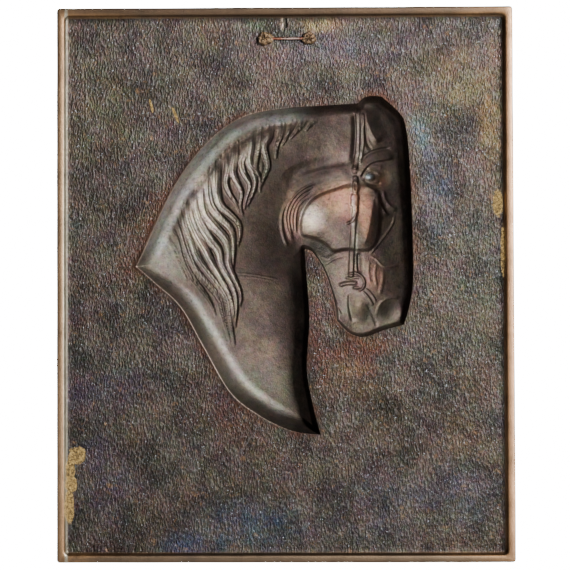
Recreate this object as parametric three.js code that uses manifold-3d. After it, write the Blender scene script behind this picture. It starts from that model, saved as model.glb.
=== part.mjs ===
// Cast bronze relief plaque, seen from its hollow back, with its copper hanging wire.
// Millimetres. X runs to the right as the back is seen, Y runs away from the wall, Z is up.
// The wall plane is y = 0, and the origin is where a nail carries the wire.
// A place on the plaque is given as (x, drop): from the centre line, and down from the top edge.

import * as THREE from "three";
import { mergeVertices } from "three/addons/utils/BufferGeometryUtils.js";
import Module from "manifold-3d";

const wasm = await Module();
wasm.setup();

// Plate and rim
const PLAQUE_WIDTH = 280;
const PLAQUE_HEIGHT = 340;
const RIM_WIDTH = 4.4;
const RIM_HEIGHT = 3;
const RIM_DRAFT = 1.2;
const RIM_INNER_RADIUS = 3;
const EDGE_RADIUS = 1.2;
const EDGE_BEVEL = 0.7;
const CORNER_SEGMENTS = 3;
const WALL = 3;

// Hanging wire, and the lugs that hold its ends. A lug is given by x, half width and half height.
const HANG_DROP = 20;
const WIRE_DIAMETER = 1.8;
const WIRE_SIDES = 8;
const WIRE_GAP = 0.3;
const WIRE_HOLD = 1.4;
const LUGS = [
  { x: -11.5, halfWidth: 5, halfHeight: 4 },
  { x: 15.2, halfWidth: 4.2, halfHeight: 3.9 },
];
const LUG_TOP = 0.25;
const LUG_SIDES = 16;
const LUG_RINGS = 6;

// Row of shallow strokes at the lower left
const STROKE_COUNT = 11;
const STROKE_FIRST = -130.5;
const STROKE_PITCH = 4.2;
const STROKE_DROP = 331.5;
const STROKE_LENGTHS = [3.6, 2.2, 3.6];
const STROKE_LEANS = [-18, 0, 18, -9, 9];
const STROKE_WIDTH = 0.7;
const STROKE_DEPTH = 0.4;

// How finely the relief is followed
const LIP_STEP = 3.2;
const LIP_CLEARANCE = 1.7;
const FRONT_FOOT = WALL + 0.8;
const SAMPLE_STEP = 1;
const SAMPLE_SHAKE = 0.2;
const SHAKE_WAVES = [12.9898, 78.233];
const LINE_STEP = 2;
const LOCK_STEP = 2.5;
const BACK_POINTS = 2700;
const FRONT_POINTS = 1520;

// Closeness at which two vertices are one, and the rounding allowed in tests on triangles
const MERGE_DISTANCE = 1e-4;
const CIRCLE_ROUNDING = 1e-7;
const CORNER_ROUNDING = 1e-9;

// Outline of the hollow, run by run between its corners: x, drop, and how far its wall takes to round over
const OUTLINE = {
  crest: [
    [45, 59.3, 5], [22, 60.6, 6], [2, 62, 8], [-20, 65.5, 10], [-37, 74, 11], [-53, 89, 11.5],
    [-66, 107, 11.5], [-77, 128, 11], [-86, 148, 9], [-91.4, 159, 6],
  ],
  chest: [
    [-91.4, 159, 5], [-80, 169, 8], [-64, 184, 11], [-50, 208.5, 12], [-34, 236, 13],
    [-17, 250, 13], [3, 259.7, 11], [21.4, 262.4, 5],
  ],
  throat: [
    [21.4, 262.4, 4], [16.7, 244.6, 3], [13, 222, 3], [14.6, 191, 3], [12.5, 159, 3], [11.9, 148.5, 3],
  ],
  jaw: [
    [11.9, 148.5, 3], [16.8, 150.7, 1.6], [23.3, 160.6, 1.4], [28, 173, 1.4],
    [30.8, 185, 2], [31.4, 192.5, 2],
  ],
  chin: [
    [31.4, 192.5, 2], [35.5, 197, 2.4], [41, 201.3, 3], [49, 202.5, 3], [60, 198.6, 3], [72.3, 195.3, 3],
  ],
  nose: [
    [72.3, 195.3, 3], [75.4, 186, 3], [78.2, 169, 3], [78.1, 140, 3], [76.7, 100, 3],
    [74.6, 76, 3], [71, 66, 3], [59.8, 55.4, 4],
  ],
  ear: [[59.8, 55.4, 4], [55, 54.7, 4], [49, 55.6, 4], [45, 59.3, 5]],
};

// Depth of the hollow at its landmarks: x, drop, depth
const LANDMARKS = [
  // Withers, crest and mane
  [-84, 158, 4.5], [-74, 148, 8.5], [-66, 162, 10], [-63, 126, 9.5], [-52, 105, 10], [-35, 87, 10],
  [-8, 73, 9.5], [20, 69, 9], [38, 68, 9], [-50, 134, 11], [-36, 108, 11.5], [-20, 96, 11.5],
  [-46, 160, 12], [-34, 182, 12],
  // Neck and chest
  [-14, 112, 11.5], [5, 88, 11], [32, 82, 10.5], [-14, 150, 12.8], [-16, 185, 13], [-3, 134, 9.5],
  [8, 112, 9.5], [26, 101, 10.5], [5, 165, 12.5], [6, 195, 13.8], [3, 225, 14.2], [9, 246, 13],
  [-12, 222, 12.8], [-46, 186, 9.5], [-27, 222, 9.5], [-6, 243, 12.5],
  // Cheek and jaw
  [18, 122, 11.5], [27, 126, 13], [35, 118, 13.6], [36, 140, 13.6], [20, 136, 12], [12, 132, 10],
  [9, 148, 7.5], [16, 148.6, 7], [22, 154, 6], [29, 152, 8.6], [27, 161, 5.5], [31, 176, 5.5],
  [36, 162, 8.5], [37, 188, 6],
  // Forehead, face and muzzle
  [49, 66, 10.5], [60, 62, 8.5], [57, 88, 12.5], [67, 82, 10], [55, 98, 13.5], [66, 104, 11], [50, 122, 14.5],
  [48, 142, 14], [61, 130, 11.5], [70, 135, 9], [47, 158, 12.5], [60, 164, 12], [71, 165, 8], [46, 183, 9.5],
  [41, 197, 3.4], [50, 198, 3.6], [60, 194, 4.8], [67, 184, 8], [52, 188, 7.4],
];

// Locks of the mane: half width, height, and the middle line's places from root to tip
const LOCKS = [
  [2, 0.7, [[21, 66], [17, 70], [13, 75]]],
  [2.4, 0.9, [[14, 66.5], [9, 73], [3, 80]]],
  [2.4, 1.1, [[6, 68], [1.6, 77.5], [-2, 84]]],
  [2.6, 1.3, [[-2, 69], [-2, 77], [-5.5, 92]]],
  [3, 1.8, [[-9, 70.5], [-13, 84], [-10.5, 97], [-15, 110]]],
  [2.6, 1.6, [[-14, 72], [-17.5, 90], [-15.5, 104], [-15.5, 113]]],
  [3.2, 1.9, [[-20, 75], [-22.5, 93], [-18.3, 106], [-24, 122]]],
  [3, 1.9, [[-25, 78.5], [-27, 94], [-21.8, 108], [-25.5, 124]]],
  [3.2, 2, [[-30, 82], [-32.5, 100], [-27, 113], [-26.3, 127]]],
  [3.2, 1.8, [[-36, 87], [-37, 106], [-30, 120], [-28, 126]]],
  [3.8, 2.1, [[-42, 92.5], [-42.5, 114], [-34, 126.5], [-28, 139], [-30, 147]]],
  [3.8, 2.2, [[-47, 98], [-46.5, 120], [-34, 135.5], [-32.6, 161]]],
  [4, 2.3, [[-51, 103], [-50, 126], [-37, 142], [-35, 158], [-28.6, 184]]],
  [4, 2.2, [[-55, 108], [-53, 131], [-41.5, 149], [-31, 176.5], [-31.5, 197]]],
  [4, 2, [[-59, 114], [-56, 136], [-46, 156], [-32.8, 185], [-32.4, 198]]],
  [3.8, 1.5, [[-63, 120], [-57.5, 144], [-41.5, 171], [-34.5, 192], [-31.5, 208]]],
  [3.8, 1.1, [[-67, 126], [-60, 150], [-42, 177], [-34, 206]]],
  [3.2, 0.8, [[-70, 132], [-63.5, 153], [-47, 180], [-43, 190]]],
  [2.6, 0.5, [[-74, 139], [-65, 157], [-61, 167]]],
];
const ROOT_FADE = 13;
const TIP_SHARE = 0.75;
const TIP_WIDTH = 0.24;

// Lines with a round back: the widths on their left and right as they run down, their height and their
// places. On a line that runs to the right these are its lower and upper side. Sunk heights are below zero.
const RIDGES = [
  // Groove behind the crest, and the seam across the neck
  [2, 2, -0.5, [[12, 70], [-10, 73], [-31, 83.4], [-42, 94.6], [-52.6, 107.4], [-62.6, 124], [-69, 136]]],
  [1.2, 1.2, 0.3, [[-32, 162.8], [-19, 164], [-3, 167.2]]],
  // Muscle of the neck and the swell behind the jaw
  [3, 6, -0.9, [[0, 108], [8, 101], [22, 96.6], [32, 94.6], [42, 93]]],
  [4, 4, 0.7, [[2, 119], [10, 110.5], [22, 104], [32, 101], [41, 99.5]]],
  // Upper edge of the browband, loose end of the cheekpiece, ring and bar of the bit
  [1.6, 1, -0.8, [[46.6, 94.6], [49.4, 90.8], [53, 88.2], [58, 86.6], [66, 85.6]]],
  [0.9, 0.9, 0.9, [[45, 120.5], [44.8, 125], [43, 129], [40.4, 131.4], [37.2, 132.3]]],
  [1.1, 1.1, 1.1, [[38.2, 163.6], [44, 163.2], [48, 166], [49, 170], [47.2, 173.3], [43, 174]]],
  [1.6, 1.6, 1.1, [[32.6, 171.2], [38, 169.6], [45, 169.4]]],
  // Folds of the throat
  [1.1, 1.1, 0.9, [[19, 107], [10, 111.6], [3.4, 119], [0.6, 127], [1.6, 136], [5, 145]]],
  [1, 1, 0.9, [[18, 109.6], [10, 114], [4.6, 121], [2.4, 128.4], [3.4, 137], [5.6, 144]]],
  [1, 1, 0.8, [[16, 112.6], [9.6, 117], [5.8, 123], [4.4, 130], [5.2, 138]]],
  [1.6, 1, 0.7, [[4, 116], [-0.8, 124], [-2, 132], [-0.6, 141], [2.6, 148]]],
  // Foot of the cheek's lower facet
  [1.4, 2.4, -0.7, [[12, 147.6], [16, 149.6], [20.4, 152.6], [25.4, 155], [29.4, 153], [39, 149.8]]],
  // Lids, brow, vein, lips and nostril
  [1, 1.2, 0.7, [[49.2, 104.2], [50.4, 101.2], [53.6, 99.6], [57, 100.4], [60, 103]]],
  [1.4, 1, -1.1, [[48.6, 104.6], [51.2, 106.6], [55, 108], [60, 107.2]]],
  [1.6, 1.6, 0.5, [[51, 98.4], [55, 96.8], [61, 97.6]]],
  [0.8, 0.8, 0.6, [[68, 127], [66.6, 132.6], [62.6, 139], [57, 146.4], [52, 152.3]]],
  [1.8, 1.2, 0.4, [[61, 161], [60.4, 169], [58.4, 177]]],
  [1.2, 1.8, -0.4, [[50.6, 182], [54, 190], [56.4, 197]]],
];

// Creases, with a sharp back and straight sides, given as the ridges are
const CREASES = [
  // Step between neck and crown strap, the ear's hollow, the browband's lower edge
  [3.2, 1, -1.8, [[43, 63], [43.8, 70], [43.9, 80], [43.2, 88], [41.6, 96]]],
  [3.4, 8, 1.6, [[50.4, 60], [50.8, 66], [52.4, 72], [55, 78], [59, 83]]],
  [2, 1, -0.9, [[50, 70], [50.4, 77], [51.6, 83], [54.6, 87]]],
  [1.2, 5, 1.7, [[46.2, 104.4], [47.6, 101], [49.8, 97.6], [53.2, 94.6], [58, 93], [68, 92]]],
  // Throat latch over the cheek, and the face's edge beside the eye and down the nose
  [2.4, 1.2, -1.2, [[40.5, 106.4], [31, 110.2], [23, 113], [16.2, 117.4], [11.6, 123.4], [9, 131], [9, 138]]],
  [8.5, 8, 1.7, [[56.8, 110.4], [55, 119], [53.4, 129], [51.6, 138], [48.4, 148]]],
  [3.4, 1, 1.4, [[57.8, 111], [59.2, 118], [61.4, 124], [64.4, 127.8]]],
  // Shade beside the strap above the bit, and the groove of the lips
  [1.2, 3.4, -1.4, [[45.2, 150], [45.2, 158], [45.8, 164]]],
  [1.4, 4.4, -1, [[39.6, 175], [39.4, 184], [41.4, 194]]],
];

// The cheek's plate of bone: height, width of its edge, loop
const CHEEK_HEIGHT = 1.5;
const CHEEK_EDGE = 2.2;
const CHEEK_LOOP = [
  [9.8, 133], [11.6, 125], [16.2, 118.4], [23, 114], [31, 111.2], [42, 108.6], [56, 110], [59, 126],
  [55, 147], [38, 148.4], [30, 149.4], [26, 145.8], [20, 142.2], [14, 140.4], [10.4, 139.4],
];

// Straps with a flat back: half width, height, places
const STRAPS = [
  [1.7, 1.6, [[45.4, 62], [45.6, 78], [45, 89], [43.8, 97]]],
  [1.1, 1.3, [[48.4, 65], [48.8, 76], [48.2, 85], [46.8, 94]]],
  [1.75, 1.5, [[43.8, 104], [43.6, 120], [42.6, 133], [41.6, 147], [40.6, 164.5]]],
];
const STRAP_SQUARENESS = 6;

// Rounded swellings and hollows: x, drop, half width, half height, tilt in degrees, height
const SWELLINGS = [
  // Swell of one lock, ear and eye
  [-14.4, 97, 3, 7, 4, 0.8],
  [49.4, 74, 3, 14, -6, 0.7],
  [53.2, 103.4, 3.2, 2.6, 10, 1.4],
  [60.4, 103, 5, 7, 0, -0.7],
  // Junction and buckle of the bridle
  [43.4, 98.8, 2.8, 3.4, 10, 0.9],
  [44, 109.2, 3, 4.8, 0, 1],
  // Lips and nostril
  [46.4, 186.4, 4.8, 10, -4, 0.7],
  [64.6, 186.4, 7, 7.4, 30, -1.3],
];

// Colours and finish
const BRONZE = new THREE.MeshStandardMaterial({ color: 0x5c4f45, roughness: 0.5, metalness: 0.9 });
const COPPER = new THREE.MeshStandardMaterial({ color: 0x9a5c45, roughness: 0.4, metalness: 0.95 });

const LAST = (list) => list[list.length - 1];
const height = (drop) => HANG_DROP - drop;

// A smooth line through places of any number of values, with even steps along it
const SPAN_PARTS = 24;

function smoothLine(places, step) {
  const at = (index) => places[Math.min(Math.max(index, 0), places.length - 1)];
  const dense = [];
  for (let span = 0; span < places.length - 1; span += 1) {
    const [before, from, to, after] = [at(span - 1), at(span), at(span + 1), at(span + 2)];
    for (let part = 0; part < SPAN_PARTS; part += 1) {
      dense.push(from.map((_, k) => catmullRom(before[k], from[k], to[k], after[k], part / SPAN_PARTS)));
    }
  }
  dense.push(LAST(places));
  return evenSteps(dense, step);
}

function catmullRom(before, from, to, after, t) {
  const leave = (to - before) / 2;
  const arrive = (after - from) / 2;
  const cubic = 2 * from - 2 * to + leave + arrive;
  const square = -3 * from + 3 * to - 2 * leave - arrive;
  return ((cubic * t + square) * t + leave) * t + from;
}

function evenSteps(dense, step) {
  const run = [0];
  for (let i = 1; i < dense.length; i += 1) {
    run.push(run[i - 1] + Math.hypot(dense[i][0] - dense[i - 1][0], dense[i][1] - dense[i - 1][1]));
  }
  const count = Math.max(2, Math.round(LAST(run) / step));
  const line = [];
  let i = 1;
  for (let n = 0; n < count; n += 1) {
    const goal = (LAST(run) * n) / count;
    while (run[i] < goal) i += 1;
    const t = (goal - run[i - 1]) / (run[i] - run[i - 1]);
    line.push(dense[i].map((value, k) => dense[i - 1][k] + (value - dense[i - 1][k]) * t));
  }
  line.push(LAST(dense));
  return line;
}

// The lip: a closed loop of [x, drop, wall width], the last place of each run being the next run's first
const LIP = Object.values(OUTLINE).flatMap((run) => smoothLine(run, LIP_STEP).slice(0, -1));
const LIP_BOX = {
  left: Math.min(...LIP.map((p) => p[0])),
  right: Math.max(...LIP.map((p) => p[0])),
  top: Math.min(...LIP.map((p) => p[1])),
  bottom: Math.max(...LIP.map((p) => p[1])),
};

// How near a place is to a line: distance, share of the line's length gone by, the two ends of the piece that
// it is nearest to with t, the share of the way between them, and side, above zero to the line's right
function nearest(line, x, drop, closed) {
  const pieces = closed ? line.length : line.length - 1;
  let best = { distance: Infinity, share: 0, from: line[0], to: line[1], t: 0, side: 0 };
  for (let i = 0; i < pieces; i += 1) {
    const from = line[i];
    const to = line[(i + 1) % line.length];
    const alongX = to[0] - from[0];
    const alongDrop = to[1] - from[1];
    const length = alongX * alongX + alongDrop * alongDrop;
    const t = Math.min(1, Math.max(0, ((x - from[0]) * alongX + (drop - from[1]) * alongDrop) / length));
    const offX = x - from[0] - alongX * t;
    const offDrop = drop - from[1] - alongDrop * t;
    const distance = Math.hypot(offX, offDrop);
    if (distance < best.distance) {
      best = { distance, share: (i + t) / pieces, from, to, t, side: offX * alongDrop - offDrop * alongX };
    }
  }
  return best;
}

function insideLoop(loop, x, drop) {
  let inside = false;
  for (let i = 0; i < loop.length; i += 1) {
    const a = loop[i];
    const b = loop[(i + 1) % loop.length];
    if ((a[1] > drop) !== (b[1] > drop) && x < a[0] + ((drop - a[1]) * (b[0] - a[0])) / (b[1] - a[1])) {
      inside = !inside;
    }
  }
  return inside;
}
const insideLip = (x, drop) => insideLoop(LIP, x, drop);

// The broad form: the smooth surface of least bending through the landmarks
const bend = (squared) => (squared > 0 ? squared * Math.log(squared) : 0);

function solve(rows, values) {
  const n = values.length;
  const table = rows.map((row, i) => [...row, values[i]]);
  for (let column = 0; column < n; column += 1) {
    let pivot = column;
    for (let row = column + 1; row < n; row += 1) {
      if (Math.abs(table[row][column]) > Math.abs(table[pivot][column])) pivot = row;
    }
    [table[column], table[pivot]] = [table[pivot], table[column]];
    for (let row = 0; row < n; row += 1) {
      if (row === column) continue;
      const factor = table[row][column] / table[column][column];
      for (let k = column; k <= n; k += 1) table[row][k] -= factor * table[column][k];
    }
  }
  return table.map((row, i) => row[n] / row[i]);
}

function fitLandmarks() {
  const n = LANDMARKS.length;
  const rows = LANDMARKS.map(([x, drop]) => [
    ...LANDMARKS.map(([otherX, otherDrop]) => bend((x - otherX) ** 2 + (drop - otherDrop) ** 2)),
    1, x, drop,
  ]);
  rows.push([...LANDMARKS.map(() => 1), 0, 0, 0]);
  rows.push([...LANDMARKS.map(([x]) => x), 0, 0, 0]);
  rows.push([...LANDMARKS.map(([, drop]) => drop), 0, 0, 0]);
  const weights = solve(rows, [...LANDMARKS.map(([, , depth]) => depth), 0, 0, 0]);
  return (x, drop) => {
    let depth = weights[n] + weights[n + 1] * x + weights[n + 2] * drop;
    for (let i = 0; i < n; i += 1) {
      depth += weights[i] * bend((x - LANDMARKS[i][0]) ** 2 + (drop - LANDMARKS[i][1]) ** 2);
    }
    return depth;
  };
}
const broadForm = fitLandmarks();

// Shapes across a line, from 1 on it to 0 at its whole width, where the share is 1
const ROUND_POWER = 1.5;
const SHARP_POWER = 1.3;
const FULL_POWER = 0.6;
const roundBack = (share) => Math.max(0, 1 - share ** 2) ** ROUND_POWER;
const sharpBack = (share) => Math.max(0, 1 - share) ** SHARP_POWER;
const fullBack = (share) => Math.max(0, 1 - share ** 2) ** FULL_POWER;
const flatBack = (share) => Math.max(0, 1 - share ** STRAP_SQUARENESS);

// Runs from 0 to 1 with a level start and end
const ease = (share) => THREE.MathUtils.smoothstep(share, 0, 1);

// Fades a line in and out over a first and last share of its length
const FADE = 0.16;
const ends = (share) => ease(Math.min(share, 1 - share) / FADE);

const MANE = LOCKS.map(([half, rise, places]) => ({ line: smoothLine(places, LOCK_STEP), half, rise }));

function carvedLines(rows, profile) {
  return rows.map(([left, right, rise, places]) => ({
    line: smoothLine(places, Math.min(left, right, LINE_STEP)), left, right, rise, profile,
  }));
}
const CARVED = [...carvedLines(RIDGES, roundBack), ...carvedLines(CREASES, sharpBack)];
const STRAP_LINES = STRAPS.map(([half, rise, places]) => ({ line: smoothLine(places, half), half, rise }));
const CHEEK = smoothLine([...CHEEK_LOOP, CHEEK_LOOP[0]], LINE_STEP).slice(0, -1);

// Overlapping locks that rise from their roots and narrow to their tips
function maneAt(x, drop) {
  let top = 0;
  for (const { line, half, rise } of MANE) {
    const { distance, share } = nearest(line, x, drop, false);
    if (distance >= half) continue;
    const narrow = TIP_WIDTH + (1 - TIP_WIDTH) * Math.min(1, (1 - share) / TIP_SHARE);
    const root = ease((share * line.length * LOCK_STEP) / ROOT_FADE);
    const tip = Math.sqrt(Math.min(1, (1 - share) / FADE));
    top = Math.max(top, rise * root * tip * (1 + narrow) / 2 * fullBack(distance / (half * narrow)));
  }
  return top;
}

function linesAt(x, drop) {
  let sum = 0;
  for (const { line, left, right, rise, profile } of CARVED) {
    const { distance, share, side } = nearest(line, x, drop, false);
    sum += rise * ends(share) * profile(distance / (side > 0 ? right : left));
  }
  return sum;
}

function strapsAt(x, drop) {
  let top = 0;
  for (const { line, half, rise } of STRAP_LINES) {
    top = Math.max(top, rise * flatBack(nearest(line, x, drop, false).distance / half));
  }
  return top;
}

function cheekAt(x, drop) {
  const { distance } = nearest(CHEEK, x, drop, true);
  const inward = insideLoop(CHEEK, x, drop) ? distance : -distance;
  return CHEEK_HEIGHT * ease(0.5 + inward / CHEEK_EDGE);
}

function swellingsAt(x, drop) {
  let sum = 0;
  for (const [centreX, centreDrop, halfWidth, halfHeight, tilt, rise] of SWELLINGS) {
    const turn = THREE.MathUtils.degToRad(tilt);
    const u = (x - centreX) * Math.cos(turn) + (drop - centreDrop) * Math.sin(turn);
    const w = (drop - centreDrop) * Math.cos(turn) - (x - centreX) * Math.sin(turn);
    sum += rise * roundBack(Math.hypot(u / halfWidth, w / halfHeight));
  }
  return sum;
}

// How much of its full depth the wall has reached, at a share of the way over its width
const WALL_ROUNDING = 2.1;
const wallRise = (share) => (share >= 1 ? 1 : 1 - (1 - share) ** WALL_ROUNDING);

function depthAt(x, drop) {
  if (!insideLip(x, drop)) return 0;
  const lip = nearest(LIP, x, drop, true);
  const width = lip.from[2] + (lip.to[2] - lip.from[2]) * lip.t;
  const forms = [broadForm, maneAt, linesAt, strapsAt, cheekAt, swellingsAt];
  const depth = forms.reduce((sum, form) => sum + form(x, drop), 0);
  return Math.max(0, depth) * wallRise(lip.distance / width);
}

// Depths on an even grid round the hollow, wide enough for the wall thickness
const MARGIN = WALL + 2 * SAMPLE_STEP;
const GRID = {
  left: LIP_BOX.left - MARGIN,
  top: LIP_BOX.top - MARGIN,
  columns: Math.ceil((LIP_BOX.right - LIP_BOX.left + 2 * MARGIN) / SAMPLE_STEP) + 1,
  rows: Math.ceil((LIP_BOX.bottom - LIP_BOX.top + 2 * MARGIN) / SAMPLE_STEP) + 1,
};

function sampleGrid(value) {
  const cells = new Float64Array(GRID.columns * GRID.rows);
  for (let row = 0; row < GRID.rows; row += 1) {
    for (let column = 0; column < GRID.columns; column += 1) {
      cells[row * GRID.columns + column] = value(column, row);
    }
  }
  return cells;
}
const BACK_GRID = sampleGrid((column, row) => (
  depthAt(GRID.left + column * SAMPLE_STEP, GRID.top + row * SAMPLE_STEP)
));

// The front follows the back one wall thickness away, measured square to the surface
function frontFromBack(column, row) {
  const reach = Math.floor(WALL / SAMPLE_STEP);
  let top = WALL;
  for (let stepRow = -reach; stepRow <= reach; stepRow += 1) {
    for (let stepColumn = -reach; stepColumn <= reach; stepColumn += 1) {
      const span = SAMPLE_STEP * Math.hypot(stepRow, stepColumn);
      const otherRow = row + stepRow;
      const otherColumn = column + stepColumn;
      const onGrid = otherRow >= 0 && otherRow < GRID.rows && otherColumn >= 0 && otherColumn < GRID.columns;
      if (span <= WALL && onGrid) {
        const depth = BACK_GRID[otherRow * GRID.columns + otherColumn];
        top = Math.max(top, depth + Math.sqrt(WALL * WALL - span * span));
      }
    }
  }
  return top;
}
const FRONT_GRID = sampleGrid(frontFromBack);

function readGrid(cells, x, drop) {
  const along = (x - GRID.left) / SAMPLE_STEP;
  const down = (drop - GRID.top) / SAMPLE_STEP;
  const column = Math.min(GRID.columns - 2, Math.max(0, Math.floor(along)));
  const row = Math.min(GRID.rows - 2, Math.max(0, Math.floor(down)));
  const u = Math.min(1, Math.max(0, along - column));
  const w = Math.min(1, Math.max(0, down - row));
  const start = row * GRID.columns + column;
  const upper = cells[start] * (1 - u) + cells[start + 1] * u;
  const lower = cells[start + GRID.columns] * (1 - u) + cells[start + GRID.columns + 1] * u;
  return upper * (1 - w) + lower * w;
}

// A growing Delaunay triangulation that always adds the sample it follows worst
const FAR = 1e5;
const MOST_POINTS = 65536;

class Sheet {
  constructor() {
    this.points = [];
    this.triangles = new Map();
    this.owners = new Map();
    this.nextTriangle = 0;
    this.outer = [[-FAR, -FAR], [FAR, -FAR], [0, FAR]].map(([x, drop]) => this.addPoint(x, drop, 0));
    this.addTriangle(this.outer[0], this.outer[1], this.outer[2], []);
  }

  addPoint(x, drop, depth) {
    this.points.push([x, drop, depth]);
    return this.points.length - 1;
  }

  edgeKey(a, b) {
    return a * MOST_POINTS + b;
  }

  addTriangle(a, b, c, samples) {
    const id = this.nextTriangle;
    this.nextTriangle += 1;
    const triangle = { corners: [a, b, c], samples: [], worst: null, error: 0 };
    this.triangles.set(id, triangle);
    this.owners.set(this.edgeKey(a, b), id);
    this.owners.set(this.edgeKey(b, c), id);
    this.owners.set(this.edgeKey(c, a), id);
    const rest = [];
    for (const sample of samples) {
      if (this.holds(triangle, sample)) this.take(triangle, sample);
      else rest.push(sample);
    }
    return rest;
  }

  weights(triangle, x, drop) {
    const [a, b, c] = triangle.corners.map((corner) => this.points[corner]);
    const area = (b[0] - a[0]) * (c[1] - a[1]) - (c[0] - a[0]) * (b[1] - a[1]);
    const wb = ((x - a[0]) * (c[1] - a[1]) - (c[0] - a[0]) * (drop - a[1])) / area;
    const wc = ((b[0] - a[0]) * (drop - a[1]) - (x - a[0]) * (b[1] - a[1])) / area;
    return [1 - wb - wc, wb, wc];
  }

  holds(triangle, sample) {
    return Math.min(...this.weights(triangle, sample[0], sample[1])) >= -CORNER_ROUNDING;
  }

  take(triangle, sample) {
    triangle.samples.push(sample);
    const weights = this.weights(triangle, sample[0], sample[1]);
    const depth = triangle.corners.reduce((sum, corner, k) => sum + weights[k] * this.points[corner][2], 0);
    const error = Math.abs(depth - sample[2]);
    if (error > triangle.error) {
      triangle.error = error;
      triangle.worst = sample;
    }
  }

  find(x, drop) {
    for (const [id, triangle] of this.triangles) {
      if (this.holds(triangle, [x, drop])) return id;
    }
    throw new Error("place outside the sheet");
  }

  inCircle(triangle, x, drop) {
    const rows = triangle.corners.map((corner) => {
      const dx = this.points[corner][0] - x;
      const dy = this.points[corner][1] - drop;
      return [dx, dy, dx * dx + dy * dy];
    });
    const [a, b, c] = rows;
    const minor = (p, q) => p[0] * q[1] - p[1] * q[0];
    return a[2] * minor(b, c) - b[2] * minor(a, c) + c[2] * minor(a, b) > CIRCLE_ROUNDING;
  }

  // Opens every triangle whose circle holds the new place, and closes the gap with triangles round it
  insert(x, drop, depth, start) {
    const point = this.addPoint(x, drop, depth);
    const open = new Set([start]);
    const queue = [start];
    const border = [];
    while (queue.length > 0) {
      const { corners } = this.triangles.get(queue.pop());
      for (let k = 0; k < 3; k += 1) {
        const from = corners[k];
        const to = corners[(k + 1) % 3];
        const other = this.owners.get(this.edgeKey(to, from));
        if (open.has(other)) continue;
        if (other !== undefined && this.inCircle(this.triangles.get(other), x, drop)) {
          open.add(other);
          queue.push(other);
        } else {
          border.push([from, to]);
        }
      }
    }
    let samples = [];
    for (const id of open) {
      const { corners, samples: held } = this.triangles.get(id);
      samples = samples.concat(held.filter((sample) => sample[0] !== x || sample[1] !== drop));
      for (let k = 0; k < 3; k += 1) this.owners.delete(this.edgeKey(corners[k], corners[(k + 1) % 3]));
      this.triangles.delete(id);
    }
    for (const [from, to] of border.filter(([a, b]) => !this.opened(open, a, b))) {
      samples = this.addTriangle(from, to, point, samples);
    }
    return point;
  }

  opened(open, from, to) {
    return open.has(this.owners.get(this.edgeKey(to, from)));
  }

  // Adds the worst followed of the samples until the sheet has the number of points asked for
  refine(samples, count) {
    for (const sample of samples) this.take(this.triangles.get(this.find(sample[0], sample[1])), sample);
    while (this.points.length < count) {
      let worst = null;
      let place = null;
      for (const [id, triangle] of this.triangles) {
        if (triangle.worst && (worst === null || triangle.error > worst.error)) {
          worst = triangle;
          place = id;
        }
      }
      if (worst === null) return;
      const [x, drop, depth] = worst.worst;
      this.insert(x, drop, depth, place);
    }
  }

  faces() {
    return [...this.triangles.values()]
      .map((triangle) => triangle.corners)
      .filter((corners) => corners.every((corner) => !this.outer.includes(corner)));
  }
}

// Samples on a staggered grid, each moved a little so that no four lie on one circle
function surfaceSamples(cells, keep) {
  const samples = [];
  for (let row = 1; row < GRID.rows - 1; row += 1) {
    for (let column = 1; column < GRID.columns - 1; column += 1) {
      const shake = Math.sin(row * SHAKE_WAVES[0] + column * SHAKE_WAVES[1]) * SAMPLE_SHAKE;
      const x = GRID.left + (column + (row % 2) / 2 + shake) * SAMPLE_STEP;
      const drop = GRID.top + (row + shake / 2) * SAMPLE_STEP;
      if (keep(x, drop)) samples.push([x, drop, readGrid(cells, x, drop)]);
    }
  }
  return samples;
}

// A closed loop of a rectangle with rounded corners, inset from the plaque's edge
function roundedLoop(inset, radius) {
  const right = PLAQUE_WIDTH / 2 - inset - radius;
  const top = inset + radius;
  const bottom = PLAQUE_HEIGHT - inset - radius;
  const corners = [[right, top, -90], [right, bottom, 0], [-right, bottom, 90], [-right, top, 180]];
  const loop = [];
  for (const [x, drop, start] of corners) {
    for (let i = 0; i <= CORNER_SEGMENTS; i += 1) {
      const turn = THREE.MathUtils.degToRad(start + (90 * i) / CORNER_SEGMENTS);
      loop.push([x + radius * Math.cos(turn), drop + radius * Math.sin(turn)]);
    }
  }
  return loop;
}

// Collects triangles in space from loops and sheets
class Shell {
  constructor() {
    this.positions = [];
  }

  triangle(a, b, c) {
    for (const [x, y, drop] of [a, b, c]) this.positions.push(x, y, height(drop));
  }

  // A band between two loops of as many places, each at its own y
  band(first, firstY, second, secondY) {
    for (let i = 0; i < first.length; i += 1) {
      const next = (i + 1) % first.length;
      const a = [first[i][0], firstY, first[i][1]];
      const b = [first[next][0], firstY, first[next][1]];
      const c = [second[next][0], secondY, second[next][1]];
      const d = [second[i][0], secondY, second[i][1]];
      this.triangle(a, b, c);
      this.triangle(a, c, d);
    }
  }

  sheet(sheet, baseY, flip) {
    for (const face of sheet.faces()) {
      const [a, b, c] = face.map((corner) => {
        const [x, drop, depth] = sheet.points[corner];
        return [x, baseY + depth, drop];
      });
      if (flip) this.triangle(a, c, b);
      else this.triangle(a, b, c);
    }
  }

  geometry() {
    const geometry = new THREE.BufferGeometry();
    geometry.setAttribute("position", new THREE.Float32BufferAttribute(this.positions, 3));
    return mergeVertices(geometry, MERGE_DISTANCE);
  }
}

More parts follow.
